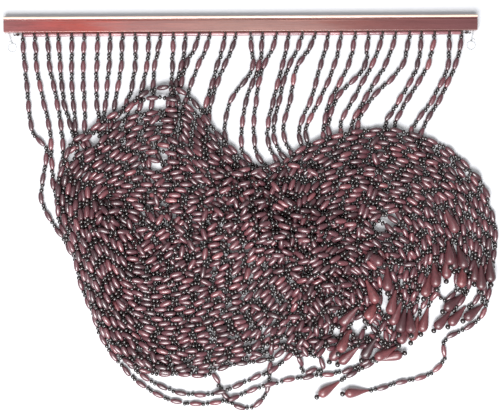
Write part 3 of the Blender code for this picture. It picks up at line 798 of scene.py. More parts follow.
@dataclass
class Settling:
    """Settles the beads: threads keep their lengths, beads push each other apart and the heap sinks down.

    Each round sinks every ball a little, pushes each of an overlapping pair back by a share of the overlap,
    opens sharp bends, restores the beads' and the threads' lengths, and holds the strands near their places.
    """

    places: np.ndarray
    radii: np.ndarray
    start: np.ndarray
    rounds: int = 320
    calm_rounds: int = 110
    sink: float = 0.00008
    calm_sink: float = 0.15
    push: float = 0.38
    hold: float = 0.006
    least_chord: float = 0.93
    margin: float = 0.0020
    refresh: int = 6
    grid_rows: int = 4096
    near_balls: int = 4
    # first and last ball of each stiff length of a drop and its end bead, of their five balls
    drop_rods: tuple[tuple[int, int], ...] = ((0, 3), (1, 4), (0, 4))

    def __post_init__(self) -> None:
        """Lay out what stays the same: every ball's radius and strand, the links and the stiff lengths."""
        strands, count, _ = self.start.shape
        self.flat_radii = np.tile(self.radii, strands)
        self.strand_of = np.repeat(np.arange(strands), count)
        self.links = np.diff(self.places)
        widest = self.radii[3:6].max()  # of the first oval bead's three balls
        middles = np.flatnonzero(np.isclose(self.radii, widest))
        drop = count - 1 - max(last for _, last in self.drop_rods)
        self.rods = [(middles - 1, middles + 1)]
        self.rods += [(np.array([drop + i]), np.array([drop + j])) for i, j in self.drop_rods]

    def neighbours(self, spots: np.ndarray) -> tuple[np.ndarray, np.ndarray]:
        """Pairs of balls near enough to touch soon.

        Balls are sorted by the square cell that they are in, and each is paired with those of its own cell
        and of four of the cells round it, so that every near pair is found once.

        Args:
            spots: all the balls' places, one row each.

        Returns:
            The first and the second ball of each pair.
        """
        size = 2 * float(np.sort(self.flat_radii)[-1]) + self.margin
        wide = self.grid_rows
        cell = np.floor(spots[:, :2] / size).astype(int) + wide // 2
        key = cell[:, 0] * wide + cell[:, 1]
        order = np.argsort(key, kind="stable")
        ranked = key[order]
        firsts, seconds = [], []
        for shift in (0, 1, wide - 1, wide, wide + 1):
            low = np.searchsorted(ranked, key + shift, side="left")
            count = np.searchsorted(ranked, key + shift, side="right") - low
            first = np.repeat(np.arange(len(key)), count)
            offset = np.arange(len(first)) - np.repeat(np.cumsum(count) - count, count)
            second = order[np.repeat(low, count) + offset]
            if shift == 0:
                keep = first < second
                first, second = first[keep], second[keep]
            firsts.append(first)
            seconds.append(second)
        a, b = np.concatenate(firsts), np.concatenate(seconds)
        reach = self.flat_radii[a] + self.flat_radii[b] + self.margin
        near = ((spots[a] - spots[b]) ** 2).sum(axis=1) < reach**2
        apart = (self.strand_of[a] != self.strand_of[b]) | (np.abs(a - b) > self.near_balls)
        return a[near & apart], b[near & apart]

    def push_apart(self, spots: np.ndarray, a: np.ndarray, b: np.ndarray) -> None:
        """Push apart the pairs that overlap, each ball by a share of the overlap.

        Args:
            spots: the balls' places, which are moved.
            a: the first ball of each pair.
            b: the second ball of each pair.
        """
        gap = spots[b] - spots[a]
        far = np.sqrt((gap**2).sum(axis=1)) + TINY
        overlap = self.flat_radii[a] + self.flat_radii[b] - far
        hit = overlap > 0
        a, b, push = a[hit], b[hit], (gap[hit] / far[hit, None]) * (self.push * overlap[hit, None])
        count = len(spots)
        for axis in range(3):
            spots[:, axis] += np.bincount(b, push[:, axis], count) - np.bincount(a, push[:, axis], count)

    def tighten(self, spots: np.ndarray, first: int) -> None:
        """Bring every second link of each strand, from the first given, to its length.

        Args:
            spots: the balls' places, by strand and ball, which are moved.
            first: the first link.
        """
        a, b = spots[:, first:-1:2], spots[:, first + 1 :: 2]
        rest = self.links[first : first + 2 * a.shape[1] : 2]
        gap = b - a
        far = np.sqrt((gap**2).sum(axis=2)) + TINY
        move = 0.5 * gap * (1 - rest / far)[..., None]
        a += move
        b -= move

    def unbend(self, spots: np.ndarray) -> None:
        """Open the bends that are sharper than beads on a thread allow, by the distance over one ball.

        Args:
            spots: the balls' places, by strand and ball, which are moved.
        """
        count = spots.shape[1]
        for first in (0, 2):
            i = np.sort(np.concatenate([np.arange(first, count - 2, 4), np.arange(first + 1, count - 2, 4)]))
            least = self.least_chord * (self.links[i] + self.links[i + 1])
            gap = spots[:, i + 2] - spots[:, i]
            far = np.sqrt((gap**2).sum(axis=2)) + TINY
            move = 0.5 * gap * np.maximum(least / far - 1, 0.0)[..., None]
            spots[:, i + 2] += move
            spots[:, i] -= move

    def stiffen(self, spots: np.ndarray) -> None:
        """Keep the balls of each oval bead and of each drop in one line.

        Args:
            spots: the balls' places, by strand and ball, which are moved.
        """
        for first, last in self.rods:
            a, b = spots[:, first], spots[:, last]
            rest = self.places[last] - self.places[first]
            gap = b - a
            far = np.sqrt((gap**2).sum(axis=-1)) + TINY
            move = 0.5 * gap * (1 - rest / far)[..., None]
            spots[:, first] = a + move
            spots[:, last] = b - move

    def settle(self) -> np.ndarray:
        """Run the settling.

        Returns:
            The balls' places: strand, ball, X Y Z.
        """
        spots = self.start.copy()
        fixed = self.start[:, :1].copy()
        flat = spots.reshape(-1, 3)
        for turn in range(self.rounds + self.calm_rounds):
            if turn % self.refresh == 0:
                a, b = self.neighbours(flat)
            calm = turn >= self.rounds
            spots[..., 2] -= self.sink * (self.calm_sink if calm else 1.0)
            self.push_apart(flat, a, b)
            self.unbend(spots)
            self.stiffen(spots)
            self.tighten(spots, 0)
            self.tighten(spots, 1)
            spots[..., :2] += self.hold * (self.start[..., :2] - spots[..., :2])
            flat[:, 2] = np.maximum(flat[:, 2], self.flat_radii)
            spots[:, :1] = fixed
        return spots


# ---------------------------------------------------------------- meshes


@dataclass
class Shell:
    """A mesh in the making: closed shapes joined as whole arrays, with a tone and a grain place a point."""

    points: list[np.ndarray] = field(default_factory=list)
    corners: list[np.ndarray] = field(default_factory=list)
    sizes: list[np.ndarray] = field(default_factory=list)
    smooth: list[np.ndarray] = field(default_factory=list)
    slots: list[np.ndarray] = field(default_factory=list)
    tones: list[np.ndarray] = field(default_factory=list)
    grain: list[np.ndarray] = field(default_factory=list)
    count: int = 0

    def add(
        self, grid: np.ndarray, slot: Slot = Slot.TURNED, tone: np.ndarray | None = None,
        grain: np.ndarray | None = None, closed_ends: bool = True,
    ) -> None:
        """Add shapes that are each a grid of rings.

        Args:
            grid: points by shape, ring, place round the ring and axis.
            slot: the finish.
            tone: the tone of each shape, 0 to 1, or 0 for all.
            grain: where each point lies in the wood's grain, or the points themselves.
            closed_ends: whether each end is closed with one flat face, or the last ring runs into the first.
        """
        shapes, rings, sides, _ = grid.shape
        base = self.count + (np.arange(shapes) * rings * sides)[:, None, None]
        i, j = np.meshgrid(np.arange(rings - 1 if closed_ends else rings), np.arange(sides), indexing="ij")
        turn, above = (j + 1) % sides, (i + 1) % rings
        quads = np.stack([i * sides + j, i * sides + turn, above * sides + turn, above * sides + j], axis=-1)
        quads = (base[..., None] + quads).reshape(-1)
        self.corners.append(quads)
        self.sizes.append(np.full(len(quads) // 4, 4))
        self.smooth.append(np.ones(len(quads) // 4, bool))
        faces = len(quads) // 4
        if closed_ends:
            ends = np.stack([np.arange(sides)[::-1], (rings - 1) * sides + np.arange(sides)])
            self.corners.append((base + ends).reshape(-1))
            self.sizes.append(np.full(2 * shapes, sides))
            self.smooth.append(np.zeros(2 * shapes, bool))
            faces += 2 * shapes
        self.slots.append(np.full(faces, slot.value))
        self.points.append(grid.reshape(-1, 3))
        self.tones.append(np.repeat(np.zeros(shapes) if tone is None else tone, rings * sides))
        self.grain.append((grid if grain is None else grain).reshape(-1, 3))
        self.count += shapes * rings * sides

    def build(self, name: str, finishes: Sequence[bpy.types.Material]) -> bpy.types.Object:
        """Write the arrays to a mesh object.

        Args:
            name: the piece's name.
            finishes: its materials, in slot order.

        Returns:
            The object, linked to the scene, at the origin.
        """
        corners, sizes = np.concatenate(self.corners), np.concatenate(self.sizes)
        mesh = bpy.data.meshes.new(name)
        mesh.vertices.add(self.count)
        mesh.vertices.foreach_set("co", np.concatenate(self.points).astype(np.float32).ravel())
        mesh.loops.add(len(corners))
        mesh.loops.foreach_set("vertex_index", corners.astype(np.int32))
        mesh.polygons.add(len(sizes))
        mesh.polygons.foreach_set("loop_start", (np.cumsum(sizes) - sizes).astype(np.int32))
        mesh.polygons.foreach_set("material_index", np.concatenate(self.slots).astype(np.int32))
        mesh.update(calc_edges=True)
        mesh.polygons.foreach_set("use_smooth", np.concatenate(self.smooth))
        tone = mesh.attributes.new("tone", "FLOAT", "POINT")
        tone.data.foreach_set("value", np.concatenate(self.tones).astype(np.float32))
        place = mesh.attributes.new("grain_place", "FLOAT_VECTOR", "POINT")
        place.data.foreach_set("vector", np.concatenate(self.grain).astype(np.float32).ravel())
        for finish in finishes:
            mesh.materials.append(finish)
        mesh.update()
        made = bpy.data.objects.new(name, mesh)
        bpy.context.scene.collection.objects.link(made)
        return made


def across(axes: np.ndarray) -> tuple[np.ndarray, np.ndarray]:
    """Two directions square to each axis: one level, the other the cross product of both.

    Args:
        axes: directions of length one.

    Returns:
        The level directions and those square to both.
    """
    side = np.stack([-axes[..., 1], axes[..., 0], np.zeros(axes.shape[:-1])], axis=-1)
    size = np.linalg.norm(side, axis=-1, keepdims=True)
    side = np.where(size > 1e-6, side / np.maximum(size, 1e-6), (1.0, 0.0, 0.0))
    return side, np.cross(axes, side)


def lathe(
    profile: np.ndarray, centres: np.ndarray, axes: np.ndarray, sides: int
) -> tuple[np.ndarray, np.ndarray]:
    """Turned shapes: a point is the centre, plus a height along the axis, plus a radius round the axis.

    Args:
        profile: rows of height along the axis and radius.
        centres: one row for each shape.
        axes: each shape's axis, of length one.
        sides: points round each ring.

    Returns:
        The grid of points, by shape, ring, place and axis, and each point's place in the grain: along the
        axis and across it, moved far apart from shape to shape.
    """
    angle = np.arange(sides) * math.tau / sides
    side, up = across(axes)
    round_it = np.cos(angle)[:, None] * side[:, None] + np.sin(angle)[:, None] * up[:, None]
    height, radius = profile[:, 0], profile[:, 1]
    grid = (
        centres[:, None, None]
        + height[None, :, None, None] * axes[:, None, None]
        + radius[None, :, None, None] * round_it[:, None]
    )
    local = np.empty((len(centres), len(profile), sides, 3))
    local[..., 0] = height[None, :, None] + GRAIN_STEP * np.arange(len(centres))[:, None, None]
    local[..., 1] = radius[:, None] * np.cos(angle)
    local[..., 2] = radius[:, None] * np.sin(angle)
    return grid, local


def tube(path: np.ndarray, radius: float, sides: int, closed: bool = False) -> np.ndarray:
    """A tube: at each point of the path a ring of the given radius, square to the path's direction there.

    Args:
        path: the points down its middle.
        radius: the tube's radius.
        sides: points round each ring.
        closed: whether the last point runs on into the first.

    Returns:
        The grid of points, with one shape.
    """
    ahead = np.roll(path, -1, axis=0) - np.roll(path, 1, axis=0) if closed else np.gradient(path, axis=0)
    side, up = across(unit(ahead))
    angle = np.arange(sides) * math.tau / sides
    round_it = np.cos(angle)[:, None] * side[:, None] + np.sin(angle)[:, None] * up[:, None]
    return (path[:, None] + radius * round_it)[None]


def bend(points: Sequence[Sequence[float]], count: int) -> np.ndarray:
    """A smooth line through a few points: Catmull-Rom spans read at even steps.

    Args:
        points: the line's own points, in 3-D.
        count: how many points to return.

    Returns:
        The line's points.
    """
    own = np.array(points, float)
    around = np.concatenate([[2 * own[0] - own[1]], own, [2 * own[-1] - own[-2]]])
    u = np.linspace(0.0, len(own) - 1 - TINY, count)
    i = u.astype(int)
    t = (u - i)[:, None]
    a, b, c, d = (around[i + n] for n in range(4))
    return 0.5 * (2 * b + (c - a) * t + (2 * a - 5 * b + 4 * c - d) * t**2 + (3 * b - a - 3 * c + d) * t**3)


# ---------------------------------------------------------------- finishes


@dataclass
class NodeMaker:
    """Puts shader nodes in a tree and wires them."""

    tree: bpy.types.NodeTree

    def add(self, kind: str, settings: dict | None = None, **inputs: object) -> bpy.types.Node:
        """Add a node.

        Args:
            kind: the node's type, without its ShaderNode prefix.
            settings: properties of the node.
            **inputs: a value or another node's socket for each input, by its name with _ for a space.

        Returns:
            The node.
        """
        node = self.tree.nodes.new(f"ShaderNode{kind}")
        for name, value in (settings or {}).items():
            setattr(node, name, value)
        for name, value in inputs.items():
            self.feed(node, name.replace("_", " "), value)
        return node

    def feed(self, node: bpy.types.Node, name: str, value: object) -> None:
        """Give an input a value, or wire a socket to it.

        Args:
            node: the node.
            name: the input's name, or its number.
            value: a number, a colour or a socket.
        """
        found = [s for s in node.inputs if s.name == name and s.enabled] or [node.inputs[int(name)]]
        if isinstance(value, bpy.types.NodeSocket):
            self.tree.links.new(value, found[0])
        elif isinstance(value, tuple) and len(value) == 3 and found[0].type == "RGBA":
            found[0].default_value = (*value, 1.0)
        else:
            found[0].default_value = value

    def mix(self, share: object, first: object, second: object, blend: str = "MIX") -> bpy.types.NodeSocket:
        """A colour mixed from two by a share.

        Args:
            share: how much of the second colour, 0 to 1.
            first: a colour or a socket.
            second: a colour or a socket.
            blend: how they are mixed.

        Returns:
            The colour.
        """
        node = self.add("Mix", {"data_type": "RGBA", "blend_type": blend})
        for index, value in ((0, share), (6, first), (7, second)):
            if isinstance(value, bpy.types.NodeSocket):
                self.tree.links.new(value, node.inputs[index])
            elif index == 0:
                node.inputs[index].default_value = value
            else:
                node.inputs[index].default_value = (*value, 1.0)
        return node.outputs[2]

    def math(self, operation: str, first: object, second: object = 0.0) -> bpy.types.NodeSocket:
        """A number worked out from two.

        Args:
            operation: the sum's name.
            first: a number or a socket.
            second: a number or a socket.

        Returns:
            The number.
        """
        node = self.add("Math", {"operation": operation})
        for index, value in enumerate((first, second)):
            if isinstance(value, bpy.types.NodeSocket):
                self.tree.links.new(value, node.inputs[index])
            else:
                node.inputs[index].default_value = value
        return node.outputs[0]

    def span(
        self, value: object, low: float, high: float, to_low: float = 0.0, to_high: float = 1.0
    ) -> bpy.types.NodeSocket:
        """A number carried from one range to another."""
        ends = {"From_Min": low, "From_Max": high, "To_Min": to_low, "To_Max": to_high}
        return self.add("MapRange", Value=value, **ends).outputs[0]

    def share(self, value: object, share: float) -> bpy.types.NodeSocket:
        """A share of a number."""
        return self.math("MULTIPLY", value, share)

    def ramp(self, place: object, stops: Sequence[tuple[float, Colour]]) -> bpy.types.NodeSocket:
        """A colour read at a place between stops.

        Args:
            place: the number that is read, 0 to 1.
            stops: rows of place and colour, in order.

        Returns:
            The colour.
        """
        node = self.add("ValToRGB", Fac=place)
        while len(node.color_ramp.elements) < len(stops):
            node.color_ramp.elements.new(1.0)
        for element, (at, colour) in zip(node.color_ramp.elements, stops):
            element.position = at
            element.color = (*colour, 1.0)
        return node.outputs["Color"]

    def relief(self, shader: bpy.types.Node, height: object, strength: float, depth: float) -> None:
        """Feed the shader's normal with fine relief."""
        bump = self.add("Bump", Strength=strength, Distance=depth, Height=height)
        self.feed(shader, "Normal", bump.outputs[0])


@dataclass(frozen=True)
class TurnedGrain:
    """The wood grain shared by the bar and the beads: streaks, pores, and the soft clouds of a stain."""

    name: str = "turned_grain"
    pore_scale: float = 4.3
    cloud_scale: float = 0.22
    # columns: output, noise value that reads as 0, noise value that reads as 1
    ranges: tuple[tuple[str, float, float], ...] = (
        ("Streak", 0.35, 0.68),
        ("Pore", 0.56, 0.70),
        ("Cloud", 0.30, 0.70),
    )

    def group(self) -> bpy.types.ShaderNodeTree:
        """The node group, made once.

        Returns:
            A group with inputs Place, Stretch and Scale and outputs Streak, Pore and Cloud, each 0 to 1.
        """
        group = bpy.data.node_groups.get(self.name)
        if group:
            return group
        group = bpy.data.node_groups.new(self.name, "ShaderNodeTree")
        for name, kind in (("Place", "Vector"), ("Stretch", "Vector"), ("Scale", "Float")):
            group.interface.new_socket(name, in_out="INPUT", socket_type=f"NodeSocket{kind}")
        for name, _, _ in self.ranges:
            group.interface.new_socket(name, in_out="OUTPUT", socket_type="NodeSocketFloat")
        make = NodeMaker(group)
        given, out = group.nodes.new("NodeGroupInput").outputs, group.nodes.new("NodeGroupOutput").inputs
        drawn = make.add("VectorMath", {"operation": "MULTIPLY"})
        group.links.new(given["Place"], drawn.inputs[0])
        group.links.new(given["Stretch"], drawn.inputs[1])
        drawn, place, scale = drawn.outputs[0], given["Place"], given["Scale"]
        noises = (
            make.add("TexNoise", Vector=drawn, Scale=scale, Detail=4.0, Roughness=0.6),
            make.add("TexNoise", Vector=drawn, Scale=make.share(scale, self.pore_scale), Detail=2.0),
            make.add("TexNoise", Vector=place, Scale=make.share(scale, self.cloud_scale)),
        )
        for noise, (name, low, high) in zip(noises, self.ranges):
            group.links.new(make.span(noise.outputs[0], low, high), out[name])
        return group

    def place_in(
        self, make: NodeMaker, place: bpy.types.NodeSocket, stretch: Point, scale: float
    ) -> bpy.types.bpy_prop_collection:
        """Put the group in a material.

        Args:
            make: the material's node maker.
            place: where each point is in the grain.
            stretch: how closely the grain is drawn along each axis.
            scale: how fine it is.

        Returns:
            The group's outputs.
        """
        return make.add(
            "Group", {"node_tree": self.group()}, Place=place, Stretch=stretch, Scale=scale
        ).outputs


def new_material(name: str) -> tuple[bpy.types.Material, NodeMaker, bpy.types.Node]:
    """A material with a bare Principled shader.

    Args:
        name: the material's name.

    Returns:
        The material, a node maker for it and its shader.
    """
    made = bpy.data.materials.new(name)
    made.use_nodes = True
    return made, NodeMaker(made.node_tree), made.node_tree.nodes["Principled BSDF"]


@dataclass(frozen=True)
class BeadVarnish:
    """Gloss varnish over stained wood, for turned beads. Tone 0 is the darkest bead and 1 the reddest."""

    name: str
    dark: Colour
    middle: Colour
    light: Colour
    streak: float = 0.45
    rough: tuple[float, float] = (0.32, 0.42)
    coat: float = 1.0
    coat_rough: float = 0.21
    pore: float = 0.55
    pore_colour: Colour = (0.008, 0.004, 0.004)
    cloud: float = 0.35
    grain_stretch: Point = (0.22, 1.0, 1.0)
    grain_scale: float = 620.0
    bump: float = 0.10
    bump_depth: float = 0.0004

    def material(self) -> bpy.types.Material:
        """The finish as a material, which reads the attributes tone and grain_place.

        Returns:
            The material.
        """
        made, make, shader = new_material(self.name)
        tone = make.add("Attribute", {"attribute_name": "tone"}).outputs["Fac"]
        place = make.add("Attribute", {"attribute_name": "grain_place"}).outputs["Vector"]
        grain = TurnedGrain().place_in(make, place, self.grain_stretch, self.grain_scale)
        stained = make.ramp(tone, ((0.0, self.dark), (0.5, self.middle), (1.0, self.light)))
        streaked = make.mix(make.share(grain["Streak"], self.streak), stained, self.dark)
        pored = make.mix(make.share(grain["Pore"], self.pore), streaked, self.pore_colour)
        cloud = make.span(grain["Cloud"], 0.0, 1.0, 0.0, self.cloud)
        make.feed(shader, "Base Color", make.mix(cloud, pored, self.middle, "SOFT_LIGHT"))
        make.feed(shader, "Roughness", make.span(grain["Streak"], 0.0, 1.0, *self.rough))
        make.feed(shader, "Coat Weight", self.coat)
        make.feed(shader, "Coat Roughness", self.coat_rough)
        make.relief(shader, grain["Pore"], self.bump, self.bump_depth)
        return made


@dataclass(frozen=True)
class TwistedThread:
    """Waxed dark thread, with the slanting ridges of its twist."""

    name: str = "waxed_thread"
    colour: Colour = (0.022, 0.013, 0.013)
    lighter: Colour = (0.075, 0.040, 0.038)
    twist_scale: float = 520.0
    twist_waver: float = 3.0
    rough: tuple[float, float] = (0.50, 0.75)
    bump: float = 0.3
    bump_depth: float = 0.0003

    def material(self) -> bpy.types.Material:
        """The finish as a material.

        Returns:
            The material.
        """
        made, make, shader = new_material(self.name)
        place = make.add("TexCoord").outputs["Object"]
        twist = make.add(
            "TexWave", Vector=place, Scale=self.twist_scale, Distortion=self.twist_waver, Detail=1.0
        ).outputs["Fac"]
        make.feed(shader, "Base Color", make.mix(twist, self.colour, self.lighter))
        make.feed(shader, "Roughness", make.span(twist, 0.0, 1.0, *self.rough))
        make.relief(shader, twist, self.bump, self.bump_depth)
        return made


@dataclass(frozen=True)
class ClearLine:
    """Clear nylon line, dulled by handling."""

    name: str = "clear_nylon_line"
    colour: Colour = (0.50, 0.53, 0.54)
    dulled: Colour = (0.72, 0.74, 0.74)
    haze_scale: float = 900.0
    rough: tuple[float, float] = (0.15, 0.35)
    clear: float = 0.55
    bending: float = 1.5

    def material(self) -> bpy.types.Material:
        """The finish as a material.

        Returns:
            The material.
        """
        made, make, shader = new_material(self.name)
        place = make.add("TexCoord").outputs["Object"]
        haze = make.add("TexNoise", Vector=place, Scale=self.haze_scale, Detail=2.0).outputs[0]
        make.feed(shader, "Base Color", make.mix(haze, self.colour, self.dulled))
        make.feed(shader, "Roughness", make.span(haze, 0.3, 0.7, *self.rough))
        make.feed(shader, "Transmission Weight", self.clear)
        make.feed(shader, "IOR", self.bending)
        return made


@dataclass(frozen=True)
class BarLacquer:
    """Gloss lacquer over red stain on a wooden bar, cloudier towards its ends, with painted reflections and
    painted light that fades towards the right in its colour along the length, a pale painted highlight along
    the crown of its round lip and painted shade lines at the lip's edges.
    """

    name: str = "bar_lacquer"
    # columns: share of the bar's length from the left, colour there: the red stain, with painted reflections
    # of the lacquer and painted light falling off towards the right end
    stain_and_painted_light: tuple[tuple[float, Colour], ...] = (
        (0.00, (0.240, 0.090, 0.095)),
        (0.07, (0.290, 0.066, 0.064)),
        (0.16, (0.350, 0.048, 0.034)),
        (0.28, (0.240, 0.052, 0.042)),
        (0.48, (0.215, 0.074, 0.052)),
        (0.66, (0.225, 0.074, 0.056)),
        (0.80, (0.165, 0.052, 0.050)),
        (1.00, (0.130, 0.046, 0.050)),
    )
    drift_scale: float = 9.0
    drift: float = 0.03
    # the lip's pale colour is a painted highlight along the crown of the round lip; the dark after it is
    # painted shade along the lip's edges, which also darkens the grain streaks in that highlight
    lip: Colour = (0.860, 0.660, 0.540)
    lip_shade_and_grain: Colour = (0.170, 0.060, 0.050)
    lip_streak: float = 0.25
    lip_fade: float = 0.0004
    lip_waver: float = 0.0002
    # columns: distance below the bar's upper edge, share of the painted lip highlight there
    lip_rows: tuple[tuple[float, float], ...] = (
        (0.0000, 0.0),
        (0.0009, 0.0),
        (0.0017, 1.0),
        (0.0050, 1.0),
        (0.0058, 0.0),
    )
    dark: Colour = (0.070, 0.014, 0.014)
    streak: float = 0.55
    pore: float = 0.5
    rubbed: Colour = (0.80, 0.52, 0.42)
    rubbed_share: float = 0.30
    rubbed_edges: tuple[float, float] = (0.50, 0.58)
    grain_stretch: Point = (0.035, 1.0, 1.0)
    grain_scale: float = 430.0
    rough: tuple[float, float] = (0.22, 0.34)
    coat: float = 0.7
    coat_rough: float = 0.10
    bump: float = 0.12
    bump_depth: float = 0.0005

    def material(self, left: float, length: float, top: float) -> bpy.types.Material:
        """The finish as a material.

        Args:
            left: X of the bar's left end.
            length: the bar's length.
            top: Y of the bar's upper edge.

        Returns:
            The material.
        """
        made, make, shader = new_material(self.name)
        place = make.add("TexCoord").outputs["Object"]
        axes = make.add("SeparateXYZ", Vector=place).outputs
        drift = make.add("TexNoise", Vector=place, Scale=self.drift_scale, Detail=2.0).outputs[0]
        along = make.span(axes["X"], left, left + length)
        drifted = make.math("ADD", along, make.span(drift, 0.0, 1.0, -self.drift, self.drift))
        grain = TurnedGrain().place_in(make, place, self.grain_stretch, self.grain_scale)
        # the colour along the bar: the stain, with painted reflections and painted light falling off towards
        # the right
        stained = make.ramp(drifted, self.stain_and_painted_light)
        streaked = make.mix(make.share(grain["Streak"], self.streak), stained, self.dark)
        pored = make.mix(make.share(grain["Pore"], self.pore), streaked, self.dark)
        worn = make.add("NewGeometry").outputs["Pointiness"]
        face = make.mix(make.span(worn, *self.rubbed_edges, 0.0, self.rubbed_share), pored, self.rubbed)
        waver = make.span(grain["Cloud"], 0.0, 1.0, -self.lip_waver, self.lip_waver)
        across_bar = make.math("ADD", axes["Y"], waver)
        depth = self.lip_rows[-1][0]
        stops = [(at / depth, (share, share, share)) for at, share in self.lip_rows]
        lip_highlight_mask = make.ramp(make.span(across_bar, top, top - depth), stops)
        # a pale painted highlight along the crown of the lip, streaked by the grain
        painted_lip_highlight = make.mix(make.share(grain["Streak"], self.lip_streak), self.lip, self.lip_shade_and_grain)
        # painted shade lines along the lip's edges: at the far edge and between the highlight and the face
        lip_shade_mask = make.span(across_bar, top - depth, top - depth + self.lip_fade)
        make.feed(shader, "Base Color", make.mix(lip_highlight_mask, make.mix(lip_shade_mask, face, self.lip_shade_and_grain), painted_lip_highlight))
        make.feed(shader, "Roughness", make.span(grain["Streak"], 0.0, 1.0, *self.rough))
        make.feed(shader, "Coat Weight", self.coat)
        make.feed(shader, "Coat Roughness", self.coat_rough)
        make.relief(shader, grain["Streak"], self.bump, self.bump_depth)
        return made


@dataclass(frozen=True)
class Palette:
    """All the curtain's finishes."""

    oval: BeadVarnish = BeadVarnish(
        "oval_bead_varnish",
        dark=(0.050, 0.019, 0.024),
        middle=(0.126, 0.041, 0.053),
        light=(0.270, 0.082, 0.092),
    )
    round_bead: BeadVarnish = BeadVarnish(
        "round_bead_varnish",
        dark=(0.010, 0.007, 0.007),
        middle=(0.018, 0.010, 0.010),
        light=(0.040, 0.017, 0.017),
        rough=(0.20, 0.30),
        coat_rough=0.13,
    )
    drop: BeadVarnish = BeadVarnish(
        "drop_varnish",
        dark=(0.044, 0.016, 0.020),
        middle=(0.138, 0.038, 0.047),
        light=(0.250, 0.066, 0.070),
        streak=0.70,
        rough=(0.34, 0.50),
        coat=0.8,
        coat_rough=0.30,
    )
    # the spacers' pale pink is partly their own tone and partly a painted sheen, lifted to stand in for the
    # highlight along each tube
    spacer: BeadVarnish = BeadVarnish(
        "spacer_varnish_and_sheen",
        dark=(0.150, 0.065, 0.078),
        middle=(0.300, 0.130, 0.148),
        light=(0.420, 0.200, 0.210),
        rough=(0.16, 0.28),
    )
    thread: TwistedThread = TwistedThread()
    line: ClearLine = ClearLine()
    lacquer: BarLacquer = BarLacquer()


# ---------------------------------------------------------------- the curtain's sub-assemblies


def place_piece(piece: bpy.types.Object, node: str) -> None:
    """Attach a piece to the body and hide the construction node that it stands in for.

    Args:
        piece: the finished piece.
        node: the construction node.
    """
    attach(piece, BODY)
    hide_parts(node)


